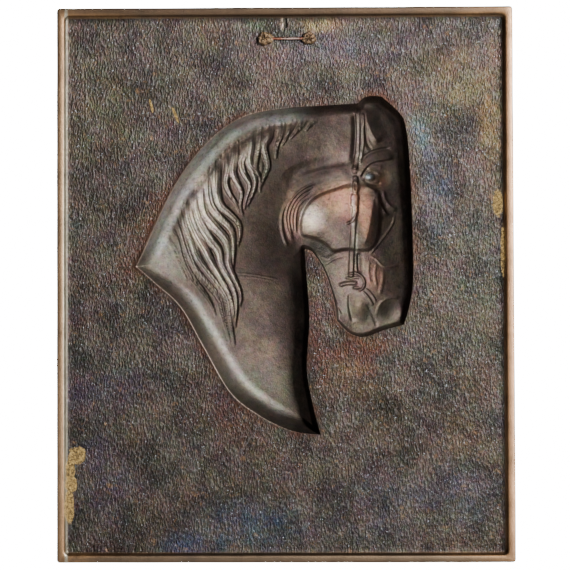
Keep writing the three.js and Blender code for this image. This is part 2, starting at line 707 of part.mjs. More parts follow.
function backSheet(border) {
  const sheet = new Sheet();
  for (const [x, drop] of border) sheet.insert(x, drop, 0, sheet.find(x, drop));
  for (const [x, drop] of LIP) sheet.insert(x, drop, 0, sheet.find(x, drop));
  const samples = surfaceSamples(BACK_GRID, (x, drop) => (
    insideLip(x, drop) && nearest(LIP, x, drop, true).distance > LIP_CLEARANCE
  ));
  sheet.refine(samples, BACK_POINTS);
  return sheet;
}

// Places just clear of the relief's foot on the front, where the plate is flat again. Those that land nearer
// to another stretch of the lip are left out.
const FOOT_SHARE = 0.97;

function frontFoot() {
  const foot = [];
  for (let i = 0; i < LIP.length; i += 1) {
    const before = LIP[(i + LIP.length - 1) % LIP.length];
    const after = LIP[(i + 1) % LIP.length];
    const length = Math.hypot(after[0] - before[0], after[1] - before[1]);
    const x = LIP[i][0] - ((after[1] - before[1]) * FRONT_FOOT) / length;
    const drop = LIP[i][1] + ((after[0] - before[0]) * FRONT_FOOT) / length;
    if (nearest(LIP, x, drop, true).distance > FOOT_SHARE * FRONT_FOOT) foot.push([x, drop]);
  }
  return foot;
}

function frontSheet(border) {
  const sheet = new Sheet();
  for (const [x, drop] of border) sheet.insert(x, drop, WALL, sheet.find(x, drop));
  for (const [x, drop] of frontFoot()) sheet.insert(x, drop, WALL, sheet.find(x, drop));
  const samples = surfaceSamples(FRONT_GRID, (x, drop) => (
    insideLip(x, drop) || nearest(LIP, x, drop, true).distance < WALL
  ));
  sheet.refine(samples, FRONT_POINTS);
  return sheet;
}

function plateShell() {
  const fieldEdge = roundedLoop(RIM_WIDTH + RIM_DRAFT, RIM_INNER_RADIUS - RIM_DRAFT);
  const rimInner = roundedLoop(RIM_WIDTH, RIM_INNER_RADIUS);
  const rimOuter = roundedLoop(EDGE_BEVEL, EDGE_RADIUS);
  const side = roundedLoop(0, EDGE_RADIUS + EDGE_BEVEL);
  const front = RIM_HEIGHT + WALL;
  const shell = new Shell();
  shell.sheet(backSheet(fieldEdge), RIM_HEIGHT, true);
  shell.band(fieldEdge, RIM_HEIGHT, rimInner, 0);
  shell.band(rimInner, 0, rimOuter, 0);
  shell.band(rimOuter, 0, side, EDGE_BEVEL);
  shell.band(side, EDGE_BEVEL, side, front - EDGE_BEVEL);
  shell.band(side, front - EDGE_BEVEL, rimOuter, front);
  shell.sheet(frontSheet(rimOuter), RIM_HEIGHT, false);
  return shell.geometry();
}

// Solids for joining and cutting
function solidOf(geometry) {
  geometry.deleteAttribute("normal");
  geometry.deleteAttribute("uv");
  const merged = mergeVertices(geometry, MERGE_DISTANCE);
  return new wasm.Manifold(new wasm.Mesh({
    numProp: 3,
    vertProperties: new Float32Array(merged.attributes.position.array),
    triVerts: new Uint32Array(merged.index.array),
  }));
}

function geometryOf(solid) {
  const mesh = solid.getMesh();
  const geometry = new THREE.BufferGeometry();
  geometry.setAttribute("position", new THREE.BufferAttribute(mesh.vertProperties, 3));
  geometry.setIndex(new THREE.BufferAttribute(mesh.triVerts, 1));
  geometry.computeVertexNormals();
  return geometry;
}

// A cast lug: a blunt lump, its foot sunk in the plate. The two powers set how square its shoulder is.
const LUG_SHOULDER = [3, 0.45];
const LUG_Z = WIRE_DIAMETER / 2;
const WIRE_Y = RIM_HEIGHT - WIRE_GAP - WIRE_DIAMETER / 2;

function lugGeometry({ x, halfWidth, halfHeight }) {
  const root = RIM_HEIGHT + WALL / 2;
  const profile = [new THREE.Vector2(0, LUG_TOP)];
  for (let i = LUG_RINGS - 1; i >= 0; i -= 1) {
    const climb = i / LUG_RINGS;
    const y = RIM_HEIGHT + (LUG_TOP - RIM_HEIGHT) * climb;
    profile.push(new THREE.Vector2(halfWidth * (1 - climb ** LUG_SHOULDER[0]) ** LUG_SHOULDER[1], y));
  }
  profile.push(new THREE.Vector2(halfWidth, root), new THREE.Vector2(0, root));
  const geometry = new THREE.LatheGeometry(profile, LUG_SIDES);
  geometry.scale(1, 1, halfHeight / halfWidth);
  geometry.translate(x, 0, LUG_Z);
  return geometry;
}

// The blind hole in a lug for one end of the wire, on the side towards the other lug
function boreGeometry({ x, halfWidth }, towards) {
  const depth = WIRE_HOLD + WIRE_GAP;
  const radius = WIRE_DIAMETER / 2 + WIRE_GAP;
  const bore = new THREE.CylinderGeometry(radius, radius, 2 * depth, WIRE_SIDES);
  bore.rotateZ(Math.PI / 2);
  bore.translate(x + towards * halfWidth, WIRE_Y, LUG_Z);
  return bore;
}

// One shallow stroke, sunk into the field and leaning by turns
function strokeGeometry(index) {
  const length = STROKE_LENGTHS[index % STROKE_LENGTHS.length];
  const geometry = new THREE.BoxGeometry(STROKE_WIDTH, 2 * STROKE_DEPTH, length);
  geometry.rotateY(THREE.MathUtils.degToRad(STROKE_LEANS[index % STROKE_LEANS.length]));
  geometry.translate(STROKE_FIRST + index * STROKE_PITCH, RIM_HEIGHT, height(STROKE_DROP));
  return geometry;
}

function plaqueCasting() {
  let solid = solidOf(plateShell());
  for (const lug of LUGS) solid = solid.add(solidOf(lugGeometry(lug)));
  solid = solid.subtract(solidOf(boreGeometry(LUGS[0], 1)));
  solid = solid.subtract(solidOf(boreGeometry(LUGS[1], -1)));
  for (let i = 0; i < STROKE_COUNT; i += 1) solid = solid.subtract(solidOf(strokeGeometry(i)));
  const mesh = new THREE.Mesh(geometryOf(solid), BRONZE);
  mesh.name = "plaque_casting";
  return mesh;
}

// The wire between the lugs, with its ends in the bores
function hangingWire() {
  const from = LUGS[0].x + LUGS[0].halfWidth - WIRE_HOLD;
  const to = LUGS[1].x - LUGS[1].halfWidth + WIRE_HOLD;
  const section = new THREE.Shape(Array.from({ length: WIRE_SIDES }, (_, i) => {
    const turn = (2 * Math.PI * i) / WIRE_SIDES;
    return new THREE.Vector2(Math.cos(turn), Math.sin(turn)).multiplyScalar(WIRE_DIAMETER / 2);
  }));
  const geometry = new THREE.ExtrudeGeometry(section, { depth: to - from, bevelEnabled: false });
  geometry.rotateY(Math.PI / 2);
  geometry.translate(from, WIRE_Y, LUG_Z);
  const mesh = new THREE.Mesh(geometry, COPPER);
  mesh.name = "hanging_wire";
  return mesh;
}

const plaque = new THREE.Group();
plaque.add(plaqueCasting(), hangingWire());

export default plaque;
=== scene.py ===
import math

import bpy
import numpy as np
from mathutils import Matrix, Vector
from mathutils.geometry import delaunay_2d_cdt


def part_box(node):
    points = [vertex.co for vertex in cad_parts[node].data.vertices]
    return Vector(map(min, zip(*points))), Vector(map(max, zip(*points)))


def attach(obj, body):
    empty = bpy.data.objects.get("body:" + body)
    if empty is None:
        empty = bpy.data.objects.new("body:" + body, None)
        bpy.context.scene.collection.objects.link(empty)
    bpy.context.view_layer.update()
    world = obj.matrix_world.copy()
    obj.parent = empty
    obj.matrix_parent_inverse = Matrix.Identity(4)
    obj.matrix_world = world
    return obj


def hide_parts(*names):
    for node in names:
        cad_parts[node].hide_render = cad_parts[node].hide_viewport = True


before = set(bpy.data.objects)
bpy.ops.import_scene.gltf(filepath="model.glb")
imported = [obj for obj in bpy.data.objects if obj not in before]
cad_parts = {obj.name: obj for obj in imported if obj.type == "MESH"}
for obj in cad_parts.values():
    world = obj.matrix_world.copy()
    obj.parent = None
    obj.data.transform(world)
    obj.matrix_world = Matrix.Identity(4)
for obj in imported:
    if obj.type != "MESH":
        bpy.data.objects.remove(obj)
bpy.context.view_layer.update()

# Sizes below are in millimetres, turned to metres by MM. A place on the plaque is x, from its centre
# line, and drop, down from its top edge. Depth is measured into the hollow, from the field.
MM = 0.001
HANG_DROP = 20
PLAQUE_WIDTH = 280
PLAQUE_HEIGHT = 340
RIM_WIDTH = 4.4
RIM_HEIGHT = 3
RIM_DRAFT = 1.2
RIM_INNER_RADIUS = 3
EDGE_RADIUS = 1.2
EDGE_BEVEL = 0.7
WALL = 3

# Relief of the hollow

# The hollow's lip, run by run between its corners: x, drop, how far the wall takes to round over
OUTLINE = {
    "crest": [
        (45, 59.3, 5), (22, 60.6, 6), (2, 62, 8), (-20, 65.5, 10), (-37, 74, 11), (-53, 89, 11.5),
        (-66, 107, 11.5), (-77, 128, 11), (-86, 148, 9), (-91.4, 159, 6),
    ],
    "chest": [
        (-91.4, 159, 5), (-80, 169, 8), (-64, 184, 11), (-50, 208.5, 12), (-34, 236, 13),
        (-17, 250, 13), (3, 259.7, 11), (21.4, 262.4, 5),
    ],
    "throat": [
        (21.4, 262.4, 4), (16.7, 244.6, 3), (13, 222, 3), (14.6, 191, 3), (12.5, 159, 3),
        (11.9, 148.5, 3),
    ],
    "jaw": [
        (11.9, 148.5, 3), (16.8, 150.7, 1.6), (23.3, 160.6, 1.4), (28, 173, 1.4), (30.8, 185, 2),
        (31.4, 192.5, 2),
    ],
    "chin": [
        (31.4, 192.5, 2), (35.5, 197, 2.4), (41, 201.3, 3), (49, 202.5, 3), (60, 198.6, 3),
        (72.3, 195.3, 3),
    ],
    "nose": [
        (72.3, 195.3, 3), (75.4, 186, 3), (78.2, 169, 3), (78.1, 140, 3), (76.7, 100, 3),
        (74.6, 76, 3), (71, 66, 3), (59.8, 55.4, 4),
    ],
    "ear": [(59.8, 55.4, 4), (55, 54.7, 4), (49, 55.6, 4), (45, 59.3, 5)],
}

# Depth of the hollow at its landmarks: x, drop, depth
LANDMARKS = [
    (-84, 158, 4.5), (-74, 148, 8.5), (-66, 162, 10), (-63, 126, 9.5), (-52, 105, 10), (-35, 87, 10),
    (-8, 73, 9.5), (20, 69, 9), (38, 68, 9), (-50, 134, 11), (-36, 108, 11.5), (-20, 96, 11.5),
    (-46, 160, 12), (-34, 182, 12), (-14, 112, 11.5), (5, 88, 11), (32, 82, 10.5), (-14, 150, 12.8),
    (-16, 185, 13), (-3, 134, 9.5), (8, 112, 9.5), (26, 101, 10.5), (5, 165, 12.5), (6, 195, 13.8),
    (3, 225, 14.2), (9, 246, 13), (-12, 222, 12.8), (-46, 186, 9.5), (-27, 222, 9.5),
    (-6, 243, 12.5), (18, 122, 11.5), (27, 126, 13), (35, 118, 13.6), (36, 140, 13.6), (20, 136, 12),
    (12, 132, 10), (9, 148, 7.5), (16, 148.6, 7), (22, 154, 6), (29, 152, 8.6), (27, 161, 5.5),
    (31, 176, 5.5), (36, 162, 8.5), (37, 188, 6), (49, 66, 10.5), (60, 62, 8.5), (57, 88, 12.5),
    (67, 82, 10), (55, 98, 13.5), (66, 104, 11), (50, 122, 14.5), (48, 142, 14), (61, 130, 11.5),
    (70, 135, 9), (47, 158, 12.5), (60, 164, 12), (71, 165, 8), (46, 183, 9.5), (41, 197, 3.4),
    (50, 198, 3.6), (60, 194, 4.8), (67, 184, 8), (52, 188, 7.4),
]

# Locks of the mane: half width, height, then the middle line's places from root to tip
LOCKS = [
    (2, 0.7, [(21, 66), (17, 70), (13, 75)]),
    (2.4, 0.9, [(14, 66.5), (9, 73), (3, 80)]),
    (2.4, 1.1, [(6, 68), (1.6, 77.5), (-2, 84)]),
    (2.6, 1.3, [(-2, 69), (-2, 77), (-5, 84), (-5.5, 92)]),
    (3, 1.8, [(-9, 70.5), (-10, 78), (-13, 84), (-11.5, 91), (-10.5, 97), (-13, 104), (-15, 110)]),
    (2.6, 1.6, [(-14, 72), (-15.5, 82), (-17.5, 90), (-18, 98), (-15.5, 104), (-15.5, 113)]),
    (3.2, 1.9, [
        (-20, 75), (-21.5, 85), (-22.5, 93), (-19.8, 100), (-18.3, 106), (-20, 113), (-24, 122),
    ]),
    (3, 1.9, [(-25, 78.5), (-25, 88), (-27, 94), (-25.5, 101), (-21.8, 108), (-24, 116), (-25.5, 124)]),
    (3.2, 2, [
        (-30, 82), (-31, 91), (-32.5, 100), (-29.5, 107.5), (-27, 113), (-27.8, 120), (-26.3, 127),
    ]),
    (3.2, 1.8, [(-36, 87), (-35, 97), (-37, 106), (-34.7, 113), (-30, 120), (-28, 126)]),
    (3.8, 2.1, [
        (-42, 92.5), (-43, 104), (-42.5, 114), (-40, 121), (-34, 126.5), (-29, 132), (-28, 139),
        (-30, 147),
    ]),
    (3.8, 2.2, [
        (-47, 98), (-48, 109), (-46.5, 120), (-40.5, 128.5), (-34, 135.5), (-32, 144), (-32.6, 161),
    ]),
    (4, 2.3, [
        (-51, 103), (-52, 115), (-50, 126), (-43, 135), (-37, 142), (-35, 150), (-35, 158), (-28, 175),
        (-28.6, 184),
    ]),
    (4, 2.2, [
        (-55, 108), (-56, 120), (-53, 131), (-47.5, 141), (-41.5, 149), (-39.5, 158), (-31, 176.5),
        (-31.5, 197),
    ]),
    (4, 2, [
        (-59, 114), (-59.5, 125), (-56, 136), (-51, 146), (-46, 156), (-36, 174), (-32.8, 185),
        (-32.4, 198),
    ]),
    (3.8, 1.5, [
        (-63, 120), (-61.5, 131), (-57.5, 144), (-54, 154), (-41.5, 171), (-36.5, 180), (-34.5, 192),
        (-31.5, 208),
    ]),
    (3.8, 1.1, [
        (-67, 126), (-63.5, 138), (-60, 150), (-55, 161), (-42, 177), (-38.6, 188), (-34, 206),
    ]),
    (3.2, 0.8, [(-70, 132), (-66, 143), (-63.5, 153), (-59, 163), (-47, 180), (-43, 190)]),
    (2.6, 0.5, [(-74, 139), (-68, 148), (-65, 157), (-61, 167)]),
]
LOCK_STEP = 2.5
LOCK_HEIGHT = 0.85
LOCK_ROUNDING = 0.6
STRANDS = 8
STRAND_RISE = 0.75
STRAND_WEAVE = 0.09
# How far from its root a lock takes to rise, and what is left of its height and strands there
ROOT_FADE = 13
ROOT_HEIGHT = 0.06
ROOT_STRANDS = 0.35
# Last share of a lock, over which it narrows, its width at the tip, and its height if it had no width
TIP_SHARE = 0.75
TIP_WIDTH = 0.24
TIP_HEIGHT = 0.45
# Share of a line's length over which it fades at each end
LINE_FADE = 0.16
LINE_STEP = 2
STRAP_SQUARENESS = 6
WALL_ROUNDING = 2.1

# Raised and sunk lines: widths beside it, where x is less and more if the line runs down, then height
# and places. On a line that runs to the right, the two are its lower and upper side. Heights below zero
# are sunk.
LINES = [
    # Groove behind the crest, and the seam across the neck
    (2, 2, -0.5, [
        (12, 70), (-10, 73), (-31, 83.4), (-42, 94.6), (-52.6, 107.4), (-62.6, 124), (-69, 136),
    ]),
    (0.6, 0.6, 0.3, [(-32, 162.8), (-19, 164), (-3, 167.2)]),
    (0.6, 0.6, 0.2, [(-30, 165), (-19, 165.6), (-6, 168.2)]),
    # Muscle of the neck and the swell behind the jaw
    (3, 6, -0.9, [(0, 108), (8, 101), (22, 96.6), (32, 94.6), (42, 93)]),
    (4, 4, 0.7, [(2, 119), (10, 110.5), (22, 104), (32, 101), (41, 99.5)]),
    # Edges of the straps on the poll and the browband
    (0.7, 0.7, -0.8, [(47.2, 66), (47.4, 76), (47, 88), (45.6, 94)]),
    (1.6, 1, -0.8, [(46.6, 94.6), (49.4, 90.8), (53, 88.2), (58, 86.6), (66, 85.6)]),
    # Loose end of the cheekpiece
    (1, 1, 1.3, [(45, 120.5), (44.8, 125), (43, 129), (40.4, 131.4), (37.2, 132.3)]),
    # Ring and bars of the bit
    (1, 1, 1.1, [(38.2, 163.6), (44, 163.2), (48, 166), (49, 170), (47.2, 173.3), (43, 174)]),
    (1.6, 1.6, 1.1, [(32.6, 171.2), (38, 169.6), (45, 169.4)]),
    (0.9, 0.9, -0.8, [(36.6, 166.3), (46.4, 166)]),
    (0.9, 0.9, -1, [(41.5, 172.4), (46, 172.3)]),
    # Folds of the throat
    (1.1, 1.1, 0.9, [(19, 107), (10, 111.6), (3.4, 119), (0.6, 127), (1.6, 136), (5, 145)]),
    (1, 0.9, 0.9, [(18, 109.6), (10, 114), (4.6, 121), (2.4, 128.4), (3.4, 137), (5.6, 144)]),
    (0.9, 0.9, 0.8, [(16, 112.6), (9.6, 117), (5.8, 123), (4.4, 130), (5.2, 138)]),
    (0.8, 0.8, 0.7, [(13.4, 116.4), (9, 120.4), (6.8, 126), (6.4, 133), (7, 139)]),
    (1.6, 1, 0.7, [(4, 116), (-0.8, 124), (-2, 132), (-0.6, 141), (2.6, 148)]),
    # Foot of the cheek's lower facet and the bars of the jaw
    (1.4, 2.4, -0.4, [
        (12, 147.6), (16, 149.6), (20.4, 152.6), (25.4, 155), (29.4, 153), (34, 150.6), (39, 149.8),
    ]),
    (0.8, 0.8, 0.3, [(15, 151.4), (19.6, 155.4), (25, 157.6), (30, 154.6), (38, 152.4)]),
    # Eye, lids and brow
    (0.9, 1.2, 0.5, [(49.2, 104.2), (50.4, 101.2), (53.6, 99.6), (57, 100.4), (60, 103)]),
    (1.6, 1.2, -0.6, [(48.6, 104.6), (51.2, 106.6), (55, 108), (60, 107.2)]),
    (1.6, 1.6, 0.5, [(51, 98.4), (55, 96.8), (61, 97.6)]),
    # Vein and the lines of the nose
    (0.7, 0.7, 0.7, [(68, 127), (66.6, 132.6), (62.6, 139), (57, 146.4), (52, 152.3)]),
    (0.7, 0.7, 0.5, [(52, 152.6), (56, 154), (59.4, 157.8), (63, 159.4), (70, 158.8)]),
    (1.2, 0.9, 0.3, [(52.4, 155), (51.6, 162), (53, 170)]),
    (1.4, 0.9, 0.35, [(57, 156.4), (55.6, 164), (57, 172)]),
    (1.8, 1.2, 0.35, [(61, 161), (60.4, 169), (58.4, 177)]),
    # Corner of the mouth, lips, chin and nostril
    (0.8, 0.7, 0.7, [(49.6, 172.6), (53.4, 176.4), (56.4, 181.4)]),
    (0.8, 0.7, 0.7, [(47.6, 174.2), (51.2, 178), (54.4, 183.4)]),
    (1.2, 1.8, -0.35, [(50.6, 182), (54, 190), (56.4, 197)]),
    (0.8, 0.8, -0.6, [(30.6, 179), (33, 184.4), (35.4, 188.4)]),
    (1, 1.4, 0.25, [(56.4, 191), (57, 186), (60.2, 181), (65, 178.8), (70.6, 178.6)]),
]

# Creases, with a sharp back and straight sides: widths, height and places as above
CREASES = [
    # Step between neck and crown strap, the ear's hollow, the browband's lower edge
    (3.2, 1, -1.8, [(43, 63), (43.8, 70), (43.9, 80), (43.2, 88), (41.6, 96)]),
    (3.4, 8, 1.6, [(50.4, 60), (50.8, 66), (52.4, 72), (55, 78), (59, 83)]),
    (2, 1, -0.9, [(50, 70), (50.4, 77), (51.6, 83), (54.6, 87)]),
    (1.2, 5, 1.7, [(46.2, 104.4), (47.6, 101), (49.8, 97.6), (53.2, 94.6), (58, 93), (68, 92)]),
    # Throat latch over the cheek, and the face's edge beside the eye and down the nose
    (2.8, 1.8, -0.9, [
        (40.5, 106.4), (31, 110.2), (23, 113), (16.2, 117.4), (11.6, 123.4), (9, 131), (9, 138),
    ]),
    (8.5, 8, 1.7, [(56.8, 110.4), (55, 119), (53.4, 129), (51.6, 138), (48.4, 148)]),
    (3.4, 1, 1.4, [(57.8, 111), (59.2, 118), (61.4, 124), (64.4, 127.8)]),
    (3, 1, 1, [(61, 111), (62.8, 117.6), (66, 122), (70, 124)]),
    (4, 1, 0.9, [(50, 108.6), (53.5, 110.4), (57.4, 112)]),
    # Shade beside the strap above the bit, the groove and the swell of the lips
    (1.2, 3.4, -1.6, [(45.2, 150), (45.2, 158), (45.8, 164)]),
    (1.4, 4.4, -0.9, [(39.6, 175), (39.4, 184), (41.4, 194)]),
]

# Plates of bone with an edge all round: height, width of the edge, loop
PLATES = [
    (1.3, 3, [
        (9.8, 133), (11.6, 125), (16.2, 118.4), (23, 114), (31, 111.2), (42, 108.6), (56, 110), (59, 126),
        (55, 147), (38, 148.4), (30, 149.4), (26, 145.8), (20, 142.2), (14, 140.4), (10.4, 139.4),
    ]),
]

# Straps with a flat back: half width, height, places
STRAPS = [
    (1.7, 1.2, [(45.4, 62), (45.6, 78), (45, 89), (43.8, 97)]),
    (1.1, 0.9, [(48.4, 65), (48.8, 76), (48.2, 85), (46.8, 94)]),
    (1.75, 1.15, [(43.8, 104), (43.6, 120), (42.6, 133), (41.6, 147), (40.6, 164.5)]),
    (2.7, 1.5, [(43.5, 115.6), (43.3, 119.8)]),
]

# Rounded swellings and hollows: x, drop, half width, half height, tilt in degrees, height
SWELLINGS = [
    # Swell of one lock, ear and eye
    (-14.4, 97, 3, 7, 4, 0.8),
    (49.4, 74, 3, 14, -6, 0.7),
    (53.2, 103.4, 3.2, 2.6, 10, 1.4),
    (61.4, 104, 5, 6, 0, -0.5),
    # Knot, junction and buckle of the bridle
    (47, 88.6, 2.6, 3, 0, 0.7),
    (43.4, 98.8, 2.8, 3.4, 10, 1.3),
    (44, 109.2, 3, 4.8, 0, 1.6),
    (44, 109.2, 1.8, 3.2, 0, -1.6),
    # Lips and nostril
    (46.4, 186.4, 4.8, 10, -4, 0.6),
    (64.6, 186.4, 7, 7.4, 30, -1.2),
]


SPAN_PARTS = 24


def smooth_line(places, step):
    """A smooth line through places of any number of values, in even steps."""
    places = np.array(places, float)
    padded = np.vstack([places[:1], places, places[-1:]])
    t = np.linspace(0, 1, SPAN_PARTS, endpoint=False)[:, None]
    dense = []
    for before, start, end, after in zip(padded, padded[1:], padded[2:], padded[3:]):
        leave, arrive = (end - before) / 2, (after - start) / 2
        cubic = 2 * start - 2 * end + leave + arrive
        square = -3 * start + 3 * end - 2 * leave - arrive
        dense.append(((cubic * t + square) * t + leave) * t + start)
    dense = np.vstack(dense + [places[-1:]])
    run = np.concatenate([[0], np.cumsum(np.hypot(*np.diff(dense[:, :2], axis=0).T))])
    count = max(2, round(run[-1] / step))
    goals = np.linspace(0, run[-1], count + 1)
    return np.stack([np.interp(goals, run, dense[:, k]) for k in range(dense.shape[1])], axis=1)


def lip_loop(step):
    """The closed loop of the hollow's lip: x, drop and wall width at even steps."""
    return np.vstack([smooth_line(run, step)[:-1] for run in OUTLINE.values()])


def nearest(line, x, drop, closed=False):
    """Distance to a line, the share of its length gone by, and how far to its right-hand side."""
    best = np.full(x.shape, np.inf)
    share = np.zeros(x.shape)
    side = np.zeros(x.shape)
    count = len(line) if closed else len(line) - 1
    for i in range(count):
        start, end = line[i], line[(i + 1) % len(line)]
        along_x, along_drop = end[0] - start[0], end[1] - start[1]
        length = along_x ** 2 + along_drop ** 2
        t = np.clip(((x - start[0]) * along_x + (drop - start[1]) * along_drop) / length, 0, 1)
        off_x, off_drop = x - start[0] - along_x * t, drop - start[1] - along_drop * t
        gap = np.hypot(off_x, off_drop)
        closer = gap < best
        best[closer] = gap[closer]
        share[closer] = (i + t[closer]) / count
        side[closer] = ((off_x * along_drop - off_drop * along_x) / np.sqrt(length))[closer]
    return best, share, side


def inside_lip(lip, x, drop):
    """True where a place lies inside the lip's loop."""
    inside = np.zeros(x.shape, bool)
    for start, end in zip(lip, np.roll(lip, -1, axis=0)):
        if start[1] == end[1]:
            continue
        crosses = (start[1] > drop) != (end[1] > drop)
        inside ^= crosses & (x < start[0] + (drop - start[1]) * (end[0] - start[0]) / (end[1] - start[1]))
    return inside


def bend(squared):
    return np.where(squared > 0, squared * np.log(np.maximum(squared, 1e-12)), 0)


def broad_form(x, drop):
    """The smooth surface of least bending through the landmarks."""
    marks = np.array(LANDMARKS, float)
    n = len(marks)
    squared = (marks[:, None, 0] - marks[None, :, 0]) ** 2 + (marks[:, None, 1] - marks[None, :, 1]) ** 2
    flat = np.hstack([np.ones((n, 1)), marks[:, :2]])
    table = np.block([[bend(squared), flat], [flat.T, np.zeros((3, 3))]])
    weights = np.linalg.solve(table, np.append(marks[:, 2], [0, 0, 0]))
    depth = weights[n] + weights[n + 1] * x + weights[n + 2] * drop
    for (mark_x, mark_drop, _), weight in zip(marks, weights):
        depth = depth + weight * bend((x - mark_x) ** 2 + (drop - mark_drop) ** 2)
    return depth


def near_line(line, x, drop, reach):
    """Picks the places close enough to a line to matter."""
    low, high = line[:, :2].min(0) - reach, line[:, :2].max(0) + reach
    return np.flatnonzero((x > low[0]) & (x < high[0]) & (drop > low[1]) & (drop < high[1]))


def ease(share):
    """Runs smoothly from 0 to 1."""
    return share * share * (3 - 2 * share)


def rest_of(least, share):
    """Runs from the least to 1 as the share goes from 0 to 1."""
    return least + (1 - least) * share


def strands(offset, share, seed):
    """Fine strands across one lock, with the offset from -1 to 1, weaving a little along it."""
    total = np.zeros(offset.shape)
    for k in range(STRANDS):
        centre = (2 * k + 1) / STRANDS - 1 + 0.08 * math.sin(4.7 * k + seed)
        centre = centre + STRAND_WEAVE * np.sin(7 * share + 2.1 * k + 3 * seed)
        rise = 0.65 + 0.35 * np.sin(8 * share + 5 * k + seed)
        total = np.maximum(total, rise * np.clip(1 - ((offset - centre) * STRANDS) ** 2, 0, None) ** 0.8)
    return total


def mane(x, drop):
    """Height of the mane: overlapping locks that narrow to their tips, with strands combed along them."""
    total = np.zeros(x.shape)
    for number, (half, rise, places) in enumerate(LOCKS):
        line = smooth_line(places, LOCK_STEP)
        pick = near_line(line, x, drop, half)
        distance, share, side = nearest(line, x[pick], drop[pick])
        narrow = rest_of(TIP_WIDTH, np.clip((1 - share) / TIP_SHARE, 0, 1))
        offset = np.copysign(distance, side) / (half * narrow)
        root = ease(np.clip(share * len(line) * LOCK_STEP / ROOT_FADE, 0, 1))
        tip = np.sqrt(np.clip((1 - share) / LINE_FADE, 0, 1))
        body = np.clip(1 - offset ** 2, 0, None) ** LOCK_ROUNDING * tip
        height = LOCK_HEIGHT * rise * rest_of(ROOT_HEIGHT, root) * rest_of(TIP_HEIGHT, narrow)
        fine = STRAND_RISE * min(1, rise) * rest_of(ROOT_STRANDS, root) * strands(offset, share, number)
        total[pick] = np.maximum(total[pick], (height + fine) * body)
    return total


def ends(share):
    """Fades a line in and out along its length."""
    return ease(np.clip(np.minimum(share, 1 - share) / LINE_FADE, 0, 1))


def ridge(distance, width):
    return np.clip(1 - (distance / width) ** 2, 0, None) ** 1.5


def crease(distance, width):
    return np.clip(1 - distance / width, 0, None) ** 1.3


def lines(x, drop, rows, profile):
    total = np.zeros(x.shape)
    for left, right, rise, places in rows:
        line = smooth_line(places, min(left, right, LINE_STEP))
        pick = near_line(line, x, drop, max(left, right))
        distance, share, side = nearest(line, x[pick], drop[pick])
        total[pick] += rise * ends(share) * profile(distance, np.where(side > 0, right, left))
    return total


def plates(x, drop):
    total = np.zeros(x.shape)
    for rise, edge, places in PLATES:
        loop = smooth_line(places + places[:1], LINE_STEP)[:-1]
        distance, _, _ = nearest(loop, x, drop, closed=True)
        inward = np.where(inside_lip(loop, x, drop), distance, -distance)
        total += rise * ease(np.clip(0.5 + inward / edge, 0, 1))
    return total


def straps(x, drop):
    total = np.zeros(x.shape)
    for half, rise, places in STRAPS:
        line = smooth_line(places, half)
        pick = near_line(line, x, drop, half)
        distance, _, _ = nearest(line, x[pick], drop[pick])
        flat = rise * np.clip(1 - (distance / half) ** STRAP_SQUARENESS, 0, None)
        total[pick] = np.maximum(total[pick], flat)
    return total


def swellings(x, drop):
    total = np.zeros(x.shape)
    for centre_x, centre_drop, half_width, half_height, tilt, rise in SWELLINGS:
        turn = np.radians(tilt)
        u = (x - centre_x) * np.cos(turn) + (drop - centre_drop) * np.sin(turn)
        w = (drop - centre_drop) * np.cos(turn) - (x - centre_x) * np.sin(turn)
        total += rise * np.clip(1 - (u / half_width) ** 2 - (w / half_height) ** 2, 0, None) ** 1.5
    return total


def relief(lip, x, drop):
    """Depth of the hollow, the height of the mane, and the distance to the lip, below zero outside."""
    depth = np.zeros(x.shape)
    carving = np.zeros(x.shape)
    inside = inside_lip(lip, x, drop)
    distance, share, _ = nearest(lip, x, drop, closed=True)
    width = np.interp(share * len(lip), np.arange(len(lip) + 1), np.append(lip[:, 2], lip[0, 2]))
    ix, idrop = x[inside], drop[inside]
    locks = mane(ix, idrop)
    detail = lines(ix, idrop, LINES, ridge) + lines(ix, idrop, CREASES, crease) + straps(ix, idrop)
    detail = detail + locks + swellings(ix, idrop) + plates(ix, idrop)
    rise = 1 - np.clip(1 - distance[inside] / width[inside], 0, 1) ** WALL_ROUNDING
    depth[inside] = np.maximum(broad_form(ix, idrop) + detail, 0) * rise
    carving[inside] = locks * rise
    return depth, carving, np.where(inside, distance, -distance)


# Meshes

# Steps of the meshes: along the lip, in the hollow, on the field, the strokes, the crack, the relief's
# front, round the rim, and in the grid that the front is read from
LIP_STEP = 1
PITCH = 0.6
FIELD_PITCH = 3.6
STROKE_MESH = 0.45
CRACK_MESH = 0.3
FRONT_PITCH = 1.5
RIM_STEP = 3.2
GRID_STEP = 0.75

# Rings of points beside the lip, and the burr that stands on it
RING_OFFSETS = (-1.1, -0.55, -0.25, 0.25, 0.6, 1.1, 1.7)
RING_CLEARANCE = 2
RING_PINCH = 0.93
BURR_HEIGHT = 0.25
BURR_WIDTH = 0.4

# Where the field starts, and how worn the lip is, more so to the left: partly wear, partly a painted
# highlight on the lip's lit left side
FIELD_INSET = RIM_WIDTH + RIM_DRAFT + 0.9
LIP_WEAR_AND_HIGHLIGHT = 0.5

# Unevenness of the casting: height, pitch and seed
FIELD_WAVES = [(0.16, 26, 1.7), (0.1, 9, 0.6)]
HOLLOW_WAVE = (0.12, 17, 2.9)
FRONT_WAVE = (0.12, 22, 3.1)
FIELD_CALM = 4

# Shallow strokes in a row at the lower left, where the plaque is marked
STROKE_COUNT = 11
STROKE_FIRST = -130.5
STROKE_PITCH = 4.2
STROKE_DROP = 331.5
STROKE_LENGTHS = (3.6, 2.16, 3.6)
STROKE_LEANS = (-18, 0, 18, -9, 9)
STROKE_WIDTH = 0.7
STROKE_DEPTH = 0.4
STROKE_END = 0.4
